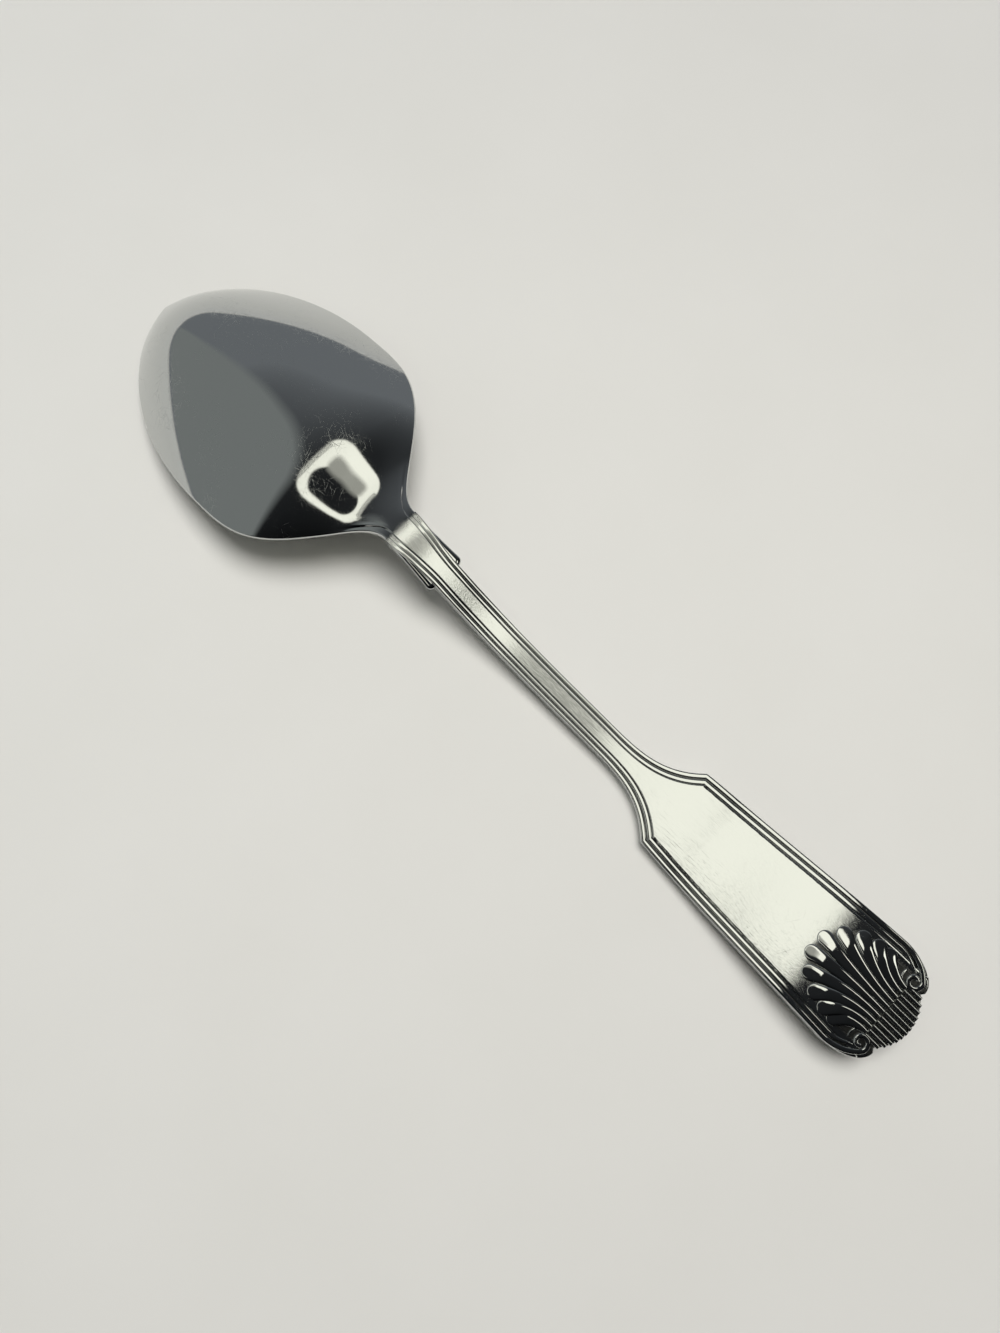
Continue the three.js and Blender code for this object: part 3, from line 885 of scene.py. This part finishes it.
    def _grid(self, rows: int, columns: int, start: int, closed: bool) -> list[tuple[int, ...]]:
        """Give the faces between rows of points.

        Args:
            rows: Count of rows.
            columns: Points in a row.
            start: Number of the first point.
            closed: Whether each row is a ring.

        Returns:
            Vertex numbers of each face.
        """
        i, j = np.meshgrid(np.arange(rows - 1), np.arange(columns - (not closed)), indexing="ij")
        here, beside = start + i * columns + j, start + i * columns + (j + 1) % columns
        quads = np.stack([here, beside, beside + columns, here + columns], -1)
        return [tuple(quad) for quad in quads.reshape(-1, 4).tolist()]

    def _lid(self, start: int, columns: int) -> list[tuple[int, ...]]:
        """Give the faces that close a ring across, between its back and its front.

        Args:
            start: Number of the ring's first point.
            columns: Points in the ring.

        Returns:
            Vertex numbers of each face.
        """
        count = 2 * self.half_count - 1
        front = count + self.cap_columns
        faces = []
        for j in range(count - 1):
            far = front + count - 1 - j
            faces.append((start + j, start + j + 1, start + far - 1, start + far))
        right = [start + k for k in range(count - 1, front + 1)]
        left = [start + k for k in range(front + count - 1, columns)] + [start]
        return faces + [tuple(right), tuple(left)]

    def build(self, bowl_steel: Material, handle_steel: Material) -> tuple[Object, Object]:
        """Make the bowl and the handle.

        Args:
            bowl_steel: Finish of the bowl.
            handle_steel: Finish of the handle.

        Returns:
            The two pieces.
        """
        form = self.form
        s, rings = self.rings()
        columns = rings.shape[1]
        lap_share = np.clip((rings[..., 0] - form.lap_start) / form.lap_length, 0, 1)
        lap = blend(form.middle(form.lap_start), form.middle(form.lap_end), lap_share)
        low, high = rings.copy(), rings.copy()
        low[..., 2] = np.minimum(rings[..., 2], lap)
        high[..., 2] = np.maximum(rings[..., 2], lap)
        before, after = s <= form.lap_start + TINY, s >= form.lap_end - TINY
        in_lap = (s >= form.lap_start - TINY) & (s <= form.lap_end + TINY)
        bowl = np.concatenate([rings[before], low[in_lap]])
        faces = self._grid(len(bowl), columns, 0, True) + self._lid((len(bowl) - 1) * columns, columns)
        bowl_piece = new_piece("bowl_shell", form.place(bowl.reshape(-1, 3)), faces, bowl_steel)
        handle = np.concatenate([high[in_lap], rings[after]])
        wall = self.end_wall(handle[-1])
        faces = self._grid(len(handle), columns, 0, True) + self._lid(0, columns)
        faces += self._grid(*wall.shape[:2], len(handle) * columns, False)
        points = np.concatenate([handle.reshape(-1, 3), wall.reshape(-1, 3)])
        handle_piece = new_piece("handle_body", form.place(points), faces, handle_steel)
        # These shares set where shade is painted into the handle's steel.
        sunk = np.concatenate([self.sunk(handle).ravel(), np.zeros(wall[..., 0].size)])
        marks = handle_piece.data.attributes.new(SUNK, "FLOAT", "POINT")
        marks.data.foreach_set("value", sunk.astype(np.float32))
        for piece in (bowl_piece, handle_piece):
            close_up(piece)
        return bowl_piece, handle_piece


# Beads: threads, scrolls, petals, ribs and lugs, swept along guides by Geometry Nodes


@dataclass
class Guide:
    """One path for a bead, in millimetres: places in plan, half widths, heights and the level it lies on."""

    plan: Array
    half: Array
    height: Array
    level: Array

    def on(self, side: Side) -> "Guide":
        """Put a path that is drawn for the left on either side."""
        return Guide(self.plan * np.array([1, side.value]), self.half, self.height, self.level)


@dataclass
class Trim:
    """Beads that make one piece."""

    form: SpoonForm
    sides: int = 16  # facets round a bead
    flatness: float = 0.0  # share by which the top of a round bead is flattened

    def guides(self) -> list[Guide]:
        """Draw the path of each bead."""
        raise NotImplementedError


@dataclass
class BeadSweep:
    """Geometry Nodes that sweep a rounded bead along each guide."""

    name: str = "Swept bead"
    stored: tuple[str, ...] = ("half", "squash", "level")  # what the guides tell at each point
    tree: NodeTree = field(init=False)
    sockets: dict[str, str] = field(init=False, default_factory=dict)

    def __post_init__(self) -> None:
        """Build the tree."""
        self.tree = tree = bpy.data.node_groups.new(self.name, "GeometryNodeTree")
        face = tree.interface
        face.new_socket("Guides", in_out="INPUT", socket_type="NodeSocketGeometry")
        kinds = {"Sides": "NodeSocketInt", "Flatness": "NodeSocketFloat", "Finish": "NodeSocketMaterial"}
        for label, kind in kinds.items():
            self.sockets[label] = face.new_socket(label, in_out="INPUT", socket_type=kind).identifier
        face.new_socket("Beads", in_out="OUTPUT", socket_type="NodeSocketGeometry")
        given = add(tree, "NodeGroupInput").outputs
        half, squash, level = (
            add(tree, "GeometryNodeInputNamedAttribute", {"data_type": "FLOAT", "Name": label})
            for label in self.stored
        )
        path = add(tree, "GeometryNodeMeshToCurve", Mesh=given["Guides"])
        upright = add(tree, "GeometryNodeSetCurveNormal", {"mode": "Z_UP"}, Curve=path)
        ring = add(tree, "GeometryNodeCurvePrimitiveCircle", {"Radius": 1.0}, Resolution=given["Sides"])
        spot = add(tree, "ShaderNodeSeparateXYZ", Vector=add(tree, "GeometryNodeInputPosition")).outputs
        # A height y of the round profile becomes y * (1 + flatness * (0.5 - 0.5 * y * y)).
        square = add(tree, MATH, {"operation": "MULTIPLY"}, input0=spot["Y"], input1=spot["Y"])
        room = add(tree, MATH, {"operation": "MULTIPLY_ADD", 1: -0.5, 2: 0.5}, input0=square)
        gain = add(tree, MATH, {"operation": "MULTIPLY_ADD", 2: 1.0}, input0=room, input1=given["Flatness"])
        raised = add(tree, MATH, {"operation": "MULTIPLY"}, input0=spot["Y"], input1=gain)
        flattened = add(tree, "ShaderNodeCombineXYZ", X=spot["X"], Y=raised)
        profile = add(tree, "GeometryNodeSetPosition", Geometry=ring, Position=flattened)
        swept = add(
            tree, "GeometryNodeCurveToMesh", {"Fill Caps": True},
            Curve=upright, Profile_Curve=profile, Scale=half,
        )
        lifted = add(
            tree, MATH, {"operation": "MULTIPLY_ADD"}, input0=spot["Z"], input1=squash, input2=level
        )
        seat = add(tree, "ShaderNodeCombineXYZ", X=spot["X"], Y=spot["Y"], Z=lifted)
        laid = add(tree, "GeometryNodeSetPosition", Geometry=swept, Position=seat)
        real = add(tree, "GeometryNodeRealizeInstances", Geometry=laid)
        dressed = add(tree, "GeometryNodeSetMaterial", Geometry=real, Material=given["Finish"])
        add(tree, "NodeGroupOutput", Beads=dressed)

    def sweep(self, name: str, trim: Trim, material: Material) -> Object:
        """Sweep beads along guides into one plain mesh.

        Args:
            name: The piece's name.
            trim: What draws the guides.
            material: Its finish.

        Returns:
            The piece.
        """
        guides = trim.guides()
        plan, half, height, level = (
            np.concatenate([getattr(guide, part) for guide in guides])
            for part in ("plan", "half", "height", "level")
        )
        points = np.column_stack([plan, np.zeros(len(plan))])
        edges = []
        start = 0
        for guide in guides:
            edges += [(start + i, start + i + 1) for i in range(len(guide.plan) - 1)]
            start += len(guide.plan)
        mesh = bpy.data.meshes.new(name)
        mesh.from_pydata(trim.form.place(points).tolist(), edges, [])
        for label, values in zip(self.stored, (half * MM, height / half, level * MM)):
            told = mesh.attributes.new(label, "FLOAT", "POINT")
            told.data.foreach_set("value", values.astype(np.float32))
        obj = bpy.data.objects.new(name, mesh)
        bpy.context.scene.collection.objects.link(obj)
        modifier = obj.modifiers.new(self.name, "NODES")
        modifier.node_group = self.tree
        for label, value in (("Sides", trim.sides), ("Flatness", trim.flatness), ("Finish", material)):
            modifier[self.sockets[label]] = value
        graph = bpy.context.evaluated_depsgraph_get()
        plain = bpy.data.meshes.new_from_object(obj.evaluated_get(graph))
        obj.modifiers.clear()
        obj.data = plain
        for label in self.stored:
            if label in plain.attributes:
                plain.attributes.remove(plain.attributes[label])
        close_up(obj)
        return obj


@dataclass
class Threads(Trim):
    """Two reeds along both edges of the handle; the outer one winds into a scroll in the corner."""

    flatness: float = 1.0
    reeds: int = 2
    reed_share: float = 0.9
    reed_sunk: float = 0.1  # under the panel
    reed_points: tuple[int, int] = (180, 90)  # before and after the shoulder
    least_height: float = 0.01
    fade: float = 4.5
    turn_points: int = 30
    outer_turn: float = np.radians(72)
    inner_turn: float = np.radians(50)
    corner_margin: float = 1.0
    inner_draw: float = 0.5  # how far the inner reed leaves the corner's line
    inner_taper: float = 0.35
    scroll_points: int = 60
    scroll_from_corner_end: float = 2.3
    scroll_from_edge: float = 3.4
    scroll_turns: float = 0.95
    scroll_eye: float = 0.46
    scroll_curve: float = 0.8  # power; below 1 it winds in quickly at first
    scroll_taper: float = 0.95
    scroll_height: float = 0.45

    @property
    def eye(self) -> Array:
        """Centre of the left scroll in plan."""
        x = self.form.corner_end_at - self.scroll_from_corner_end
        return np.array([x, self.form.blade_half - self.scroll_from_edge])

    def guide(self, reed: int, face: Face) -> Guide:
        """Draw one reed from the neck to the left corner and round it.

        Args:
            reed: 0 for the outer one.
            face: Face of the handle.

        Returns:
            The bead's path.
        """
        form = self.form
        s = form.about_shoulder(form.neck_at, *self.reed_points)
        share = (reed + self.reed_share / 2) / self.reeds
        border = form.border(s)
        edge = np.stack([s, form.half_width(s)], -1)
        straight = edge + form.edge_normal(s) * (border * share)[:, None]
        half = border / self.reeds * self.reed_share / 2
        height = (form.border_depth - self.reed_sunk) * ease(s, form.neck_at, form.neck_at + self.fade)
        outer = reed == 0
        turn = np.linspace(0, self.outer_turn if outer else self.inner_turn, self.turn_points)[1:]
        start_inset = form.blade_border * share
        last_inset = self.corner_margin if outer else start_inset + self.inner_draw
        inset = blend(start_inset, last_inset, ease(turn, 0, turn[-1]))
        corner = np.stack([
            form.corner_at + (form.corner_length - inset) * np.sin(turn),
            form.lobe_half + (form.corner_rise - inset) * np.cos(turn),
        ], -1)
        path = [straight, corner]
        if outer:
            arm = corner[-1] - self.eye
            way = np.linspace(0, 1, self.scroll_points)[1:]
            angle = np.arctan2(arm[1], arm[0]) - 2 * np.pi * self.scroll_turns * way
            radius = blend(np.hypot(*arm), self.scroll_eye, way**self.scroll_curve)
            path.append(self.eye + radius[:, None] * np.stack([np.cos(angle), np.sin(angle)], -1))
        plan = np.concatenate(path)
        run = np.linspace(0, 1, len(plan) - len(s) + 1)[1:]
        taper = blend(1.0, self.scroll_taper if outer else self.inner_taper, run)
        half = np.concatenate([half, half[-1] * taper])
        end_height = blend(height[-1], self.scroll_height, run) * (1 if outer else taper)
        height = np.maximum(np.concatenate([height, end_height]), self.least_height)
        risen = ease(plan[:, 0], form.corner_at, form.corner_at + form.corner_length / 2)
        level = form.level(plan[:, 0], face) - face.value * form.border_depth * (1 - risen)
        return Guide(plan, half, height, level)

    def guides(self) -> list[Guide]:
        """Draw the reeds of both faces and sides."""
        return [self.guide(k, face).on(side) for face in Face for side in Side for k in range(self.reeds)]


@dataclass
class Shell(Trim):
    """Shell at the end: petals from a waist, ribs from the waist to the end, and hoods over the scrolls."""

    sides: int = 24
    flatness: float = 0.9
    petals: int = 5
    petal_points: int = 44
    reach: float = 7.4
    half: float = 5.7
    spread: float = np.radians(96)
    fan_curve: float = 1.45  # power that draws the outer petals together
    waist_from_end: float = 4.2
    waist_half: float = 4.5
    head: float = 1.2
    head_last: float = 1.15
    petal_height: float = 0.45
    nose_low: float = 0.3  # share of the height at which a petal's nose starts
    nose_run: float = 3.0  # length over which it rises to the full height
    bend: float = 6.9
    bend_last: float = 2.3
    ribs: int = 12
    rib_points: int = 10
    rib_margin: float = 0.1
    rib_gap: float = 0.12
    rib_height: float = 0.3
    waist_gap: float = 0.12
    end_gap: float = 0.15
    hood_points: int = 36
    hood_turn: tuple[float, float] = (np.radians(-75), np.radians(-205))
    hood_radius: float = 1.8
    hood_half: float = 0.2
    hood_blunt: float = 1.02  # 1 would give it sharp ends
    hood_height: float = 1.2  # share of its half width

    @property
    def waist_at(self) -> float:
        """Station of the waist."""
        return self.form.end_at - self.waist_from_end

    def petal(self, number: int, face: Face) -> Guide:
        """Draw one petal of the left, from its round nose to the waist.

        Args:
            number: Counted from the axis.
            face: Face of the handle.

        Returns:
            The bead's path.
        """
        share = number / (self.petals - 1)
        angle = self.spread * (1 - (1 - (number + 0.5) / self.petals) ** self.fan_curve)
        head_half = blend(self.head, self.head_last, share)
        pitch = self.waist_half / self.petals
        root_half = (pitch - self.rib_gap) / 2
        root = np.array([self.waist_at, pitch * (number + 0.5)])
        head_x = self.form.shell_at - self.reach * np.cos(angle)
        head = np.array([head_x, self.half * np.sin(angle)])
        knee = np.array([self.waist_at - blend(self.bend, self.bend_last, share), root[1]])
        way = np.linspace(0, 1, self.petal_points)[:, None]
        body = (1 - way) ** 2 * head + 2 * way * (1 - way) * knee + way**2 * root
        nose = NOSE[::-1]
        noses = head + nose[:, None] * head_half * unit(head - knee)
        plan = np.concatenate([noses, body])
        body_half = blend(root_half, head_half, 1 - way[:, 0])
        half = np.concatenate([head_half * np.sqrt(1 - nose**2), body_half])
        full = np.concatenate([np.full(len(nose), head_half), body_half])
        height = blend(self.rib_height, self.petal_height, (full - root_half) / (head_half - root_half))
        steps = np.linalg.norm(np.diff(plan, axis=0), axis=1)
        run = np.concatenate([[0.0], np.cumsum(steps)])
        rise = blend(self.nose_low, 1.0, ease(run, 0, self.nose_run))
        return Guide(plan, half, height * rise * half / full, self.form.level(plan[:, 0], face))

    def rib(self, number: int, face: Face) -> Guide:
        """Draw one rib, from the waist to the end.

        Args:
            number: Counted across.
            face: Face of the handle.

        Returns:
            The bead's path.
        """
        pitch = 2 * (self.form.fan_half - self.rib_margin) / self.ribs
        y = pitch * (number - (self.ribs - 1) / 2)
        last = float(self.form.end_line(y)) - self.end_gap
        x = np.linspace(self.waist_at + self.waist_gap, last, self.rib_points)
        half = np.full_like(x, (pitch - self.rib_gap) / 2)
        plan = np.stack([x, np.full_like(x, y)], -1)
        return Guide(plan, half, np.full_like(x, self.rib_height), self.form.level(x, face))

    def hood(self, face: Face) -> Guide:
        """Draw the small curved leaf over the left scroll.

        Args:
            face: Face of the handle.

        Returns:
            The bead's path.
        """
        angle = np.linspace(*self.hood_turn, self.hood_points)
        arc = np.stack([np.cos(angle), np.sin(angle)], -1)
        plan = Threads(self.form).eye + self.hood_radius * arc
        half = self.hood_half * np.sqrt(self.hood_blunt - np.linspace(-1, 1, self.hood_points) ** 2)
        return Guide(plan, half, half * self.hood_height, self.form.level(plan[:, 0], face))

    def guides(self) -> list[Guide]:
        """Draw everything of the shell on both faces.

        Returns:
            The paths of all its beads.
        """
        guides = []
        for face in Face:
            guides += [self.petal(k, face).on(side) for side in Side for k in range(self.petals)]
            guides += [self.rib(k, face) for k in range(self.ribs)]
            guides += [self.hood(face).on(side) for side in Side]
        return guides


@dataclass
class Lugs(Trim):
    """Thin leaves along the sides of the neck, each ending in a round hook."""

    sides: int = 20
    points: int = 40
    lift: float = 0.25  # of its middle over the middle of the neck
    thickness: float = 0.8
    seat: float = 0.9
    hook: float = 0.8  # length of its round end

    def guide(self) -> Guide:
        """Draw the left lug.

        Returns:
            The bead's path.
        """
        form = self.form
        x = np.linspace(form.neck_at, form.lug_end_at - self.hook, self.points)
        outer = blend(form.neck_half, form.lug_half, np.linspace(0, 1, self.points) ** 2)
        inner = form.half_width(x) - self.seat
        plan = np.stack([x, (outer + inner) / 2], -1)
        tip = np.stack([x[-1] + NOSE * self.hook, np.full_like(NOSE, plan[-1, 1])], -1)
        plan = np.concatenate([plan, tip])
        fall = np.concatenate([np.ones(self.points), np.sqrt(1 - NOSE**2)])
        half = np.concatenate([outer - inner, np.full_like(NOSE, (outer - inner)[-1])]) / 2
        return Guide(plan, half * fall, fall * self.thickness / 2, form.middle(plan[:, 0]) + self.lift)

    def guides(self) -> list[Guide]:
        """Draw the two lugs."""
        return [self.guide().on(side) for side in Side]


# Studio


@dataclass(frozen=True)
class LightCard:
    """A level sheet of light with rounded soft edges, in millimetres.

    It can be dimmer at either end of its length. It can be an arch, open towards the handle's end.
    """

    name: str
    centre: tuple[float, float]
    half: tuple[float, float]
    level: float
    bowl_end: float = 1.0  # share of the level towards the bowl
    handle_end: float = 1.0  # share of the level towards the handle's end
    fade: float = 100.0  # distance from its middle at which it has these shares
    lean: float = 0.0  # how far these shares turn towards the left of the spoon
    corner: float = 25.0
    soft: float = 3.0
    arch_at: tuple[float, float] = (0.0, 0.0)
    arch_half: float = 0.0  # half the width of the opening; a card without one is whole
    height: float = 150.0
    colour: str = "fffef0"

    def _shape(self, tree: NodeTree, spot: Node) -> Node:
        """Cut the card's shape.

        Args:
            tree: The material's tree.
            spot: Gives the place on the card, from its centre.

        Returns:
            The node that gives the share by which the card is there.
        """
        straight = (self.half[0] - self.corner, self.half[1] - self.corner, 0)
        folded = add(tree, VECTOR, {"operation": "ABSOLUTE"}, input0=spot)
        past = add(tree, VECTOR, {"operation": "SUBTRACT", 1: straight}, input0=folded)
        in_corner = add(tree, VECTOR, {"operation": "MAXIMUM", 1: (0, 0, 0)}, input0=past)
        reach = add(tree, VECTOR, {"operation": "LENGTH"}, input0=in_corner).outputs["Value"]
        fades = {"From Min": self.corner - self.soft, "From Max": self.corner, "To Min": 1.0, "To Max": 0.0}
        whole = add(tree, RANGE, fades, Value=reach)
        if not self.arch_half:
            return whole
        arch_at = (self.arch_at[0] - self.centre[0], self.arch_at[1] - self.centre[1], 0)
        away = add(tree, VECTOR, {"operation": "SUBTRACT", 1: arch_at}, input0=spot)
        # Past the middle of the arch its sides run on straight, so only the way across counts there.
        across = add(tree, VECTOR, {"operation": "MINIMUM", 1: (0, self.half[1] * 2, 0)}, input0=away)
        gap = add(tree, VECTOR, {"operation": "LENGTH"}, input0=across).outputs["Value"]
        fades = {"From Min": self.arch_half, "From Max": self.arch_half + self.soft}
        solid = add(tree, RANGE, fades, Value=gap)
        return add(tree, MATH, {"operation": "MULTIPLY"}, input0=whole, input1=solid)

    def make(self) -> Material:
        """Build the material's nodes: light inside the card's shape, and nothing outside it.

        Returns:
            The material.
        """
        glow, tree = bare_material(self.name)
        x, y = self.centre
        place = add(tree, "ShaderNodeTexCoord").outputs["Object"]
        spot = add(tree, MAPPING, {"Location": (-x, -y, 0), "Scale": (1 / MM, 1 / MM, 0)}, Vector=place)
        way = {"operation": "DOT_PRODUCT", 1: (1, -self.lean, 0)}
        along = add(tree, VECTOR, way, input0=spot).outputs["Value"]
        to_bowl = {"From Min": -self.fade, "From Max": 0.0, "To Min": self.level * self.bowl_end}
        bowl_part = add(tree, RANGE, to_bowl | {"To Max": self.level}, Value=along)
        to_end = {"From Min": 0.0, "From Max": self.fade, "To Min": 1.0, "To Max": self.handle_end}
        end_share = add(tree, RANGE, to_end, Value=along)
        level = add(tree, MATH, {"operation": "MULTIPLY"}, input0=bowl_part, input1=end_share)
        light = add(tree, "ShaderNodeEmission", {"Color": linear(self.colour)}, Strength=level)
        clear = add(tree, "ShaderNodeBsdfTransparent")
        shape = self._shape(tree, spot)
        mixed = add(tree, "ShaderNodeMixShader", input0=shape, input1=clear, input2=light)
        add(tree, "ShaderNodeOutputMaterial", Surface=mixed)
        return glow


@dataclass(frozen=True)
class Studio:
    """Pale floor, soft light and the camera at the photograph's place."""

    camera_at: tuple[float, float, float] = (25.903, -23.995, 148.102)
    camera_looks: tuple[float, float, float] = (-0.15359, 0.13886, -0.97833)
    camera_up: tuple[float, float, float] = (-0.69502, 0.6886, 0.20685)
    focal_pixels: float = 1000.0
    sensor: float = 36.0
    floor_half: float = 12000.0
    cards: tuple[LightCard, ...] = (
        LightCard(
            "main_card", (15.0, -5.0), (51.0, 78.0), 1.5, bowl_end=0.9, fade=56.0, corner=46.0, soft=4.0,
            arch_at=(20.0, -30.0), arch_half=32.0,
        ),
        LightCard("rib_card", (150.0, 78.0), (60.0, 16.0), 1.8, corner=12.0),
        LightCard("stem_card", (12.0, 13.0), (23.0, 25.0), 0.5, corner=20.0, soft=12.0, height=149.0),
        LightCard(
            "grey_card", (-1525.0, -1465.0), (1500.0, 1500.0), 0.3, corner=120.0, soft=25.0, colour="e9f0ee"
        ),
        LightCard(
            "ceiling", (0.0, 0.0), (12000.0, 12000.0), 0.03, bowl_end=8.2, handle_end=0.1, fade=400.0,
            lean=0.4, corner=500.0, soft=200.0, height=300.0, colour="e6edf4",
        ),
    )
    backdrop_colour: str = "cfcec9"
    room_level: float = 0.1
    fill_from: tuple[float, float, float] = (-0.1, 0.25, 0.9)
    fill_strength: float = 2.4  # W/m2
    fill_spread: float = np.radians(36)

    def camera(self) -> None:
        """Set the camera up at the photograph's place and angle."""
        lens = bpy.data.cameras.new("photo_camera")
        lens.sensor_fit = "AUTO"
        lens.sensor_width = self.sensor
        lens.lens = self.sensor * self.focal_pixels / PHOTO_HEIGHT
        lens.clip_start = MM
        camera = bpy.data.objects.new("photo_camera", lens)
        back = -Vector(self.camera_looks).normalized()
        right = Vector(self.camera_up).cross(back).normalized()
        turn = Matrix((right, back.cross(right), back)).transposed().to_4x4()
        camera.matrix_world = Matrix.Translation(Vector(self.camera_at) * MM) @ turn
        bpy.context.scene.collection.objects.link(camera)
        bpy.context.scene.camera = camera

    def _sheet(
        self, name: str, centre: Sequence[float], half: Sequence[float], material: Material
    ) -> Object:
        """Make a level sheet.

        Args:
            name: Its name.
            centre: Its middle.
            half: Half its length and width.
            material: Its finish.

        Returns:
            The sheet.
        """
        signs = np.array([(-1, -1, 0), (1, -1, 0), (1, 1, 0), (-1, 1, 0)])
        corners = np.array(centre) + signs * (*half, 0)
        return new_piece(name, corners * MM, [(0, 1, 2, 3)], material)

    def floor(self) -> None:
        """Lay the floor."""
        self._sheet("floor", (0, 0, 0), (self.floor_half, self.floor_half), PaleFloor().make())

    def hang(self, card: LightCard) -> None:
        """Hang a card of light over the spoon, which only the steel shows.

        Args:
            card: The card.
        """
        sheet = self._sheet(card.name, (*card.centre, card.height), card.half, card.make())
        sheet.visible_camera = False
        sheet.visible_shadow = False

    def fill(self) -> None:
        """Light the floor evenly from a broad far lamp, which does not show in the steel."""
        lamp = bpy.data.lights.new("fill", "SUN")
        lamp.angle = self.fill_spread
        lamp.energy = self.fill_strength
        obj = bpy.data.objects.new("fill", lamp)
        obj.rotation_euler = Vector(self.fill_from).to_track_quat("Z", "Y").to_euler()
        obj.visible_glossy = False
        bpy.context.scene.collection.objects.link(obj)

    def room(self) -> None:
        """Surround the spoon with a pale backdrop, which the steel shows too; it gives little light."""
        world = bpy.data.worlds.new("pale_backdrop")
        world.use_nodes = True
        tree = world.node_tree
        tree.nodes.clear()
        pale = linear(self.backdrop_colour)
        dim = add(tree, "ShaderNodeBackground", {"Color": pale, "Strength": self.room_level})
        seen = add(tree, "ShaderNodeBackground", {"Color": pale, "Strength": 1.0})
        rays = add(tree, "ShaderNodeLightPath").outputs
        looks = rays["Is Camera Ray"]
        for other in ("Is Glossy Ray", "Is Transmission Ray"):
            looks = add(tree, MATH, {"operation": "MAXIMUM"}, input0=looks, input1=rays[other])
        both = add(tree, "ShaderNodeMixShader", input0=looks, input1=dim, input2=seen)
        add(tree, "ShaderNodeOutputWorld", Surface=both)
        bpy.context.scene.world = world

    def build(self) -> None:
        """Set up camera, floor and light."""
        bpy.context.scene.view_settings.view_transform = "Standard"
        self.camera()
        self.floor()
        for card in self.cards:
            self.hang(card)
        self.fill()
        self.room()


def main() -> None:
    """Build the spoon piece by piece, dress it and set up the studio."""
    logging.basicConfig(level=logging.INFO, format="%(name)s: %(message)s")
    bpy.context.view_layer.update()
    form = SpoonForm()
    bowl_steel = PolishedSteel(
        "buffed_steel_bowl", line_length=6.0, roughness=0.04, scratch_rarity=0.67, scratch_roughness=0.3
    ).make()
    handle_steel = PolishedSteel("buffed_steel_handle", line_length=4.0, line_depth=0.009).make()
    relief_steel = PolishedSteel("buffed_steel_relief", roughness=0.03, line_roughness=0.03).make()
    bowl, handle = SpoonBody(form).build(bowl_steel, handle_steel)
    carry(bowl, "bowl")
    carry(handle, "handle")
    beads = BeadSweep()
    for name, trim in (("threads", Threads(form)), ("shell", Shell(form)), ("lugs", Lugs(form))):
        carry(beads.sweep(name, trim, relief_steel))
    Studio().build()


if __name__ == "__main__":
    main()
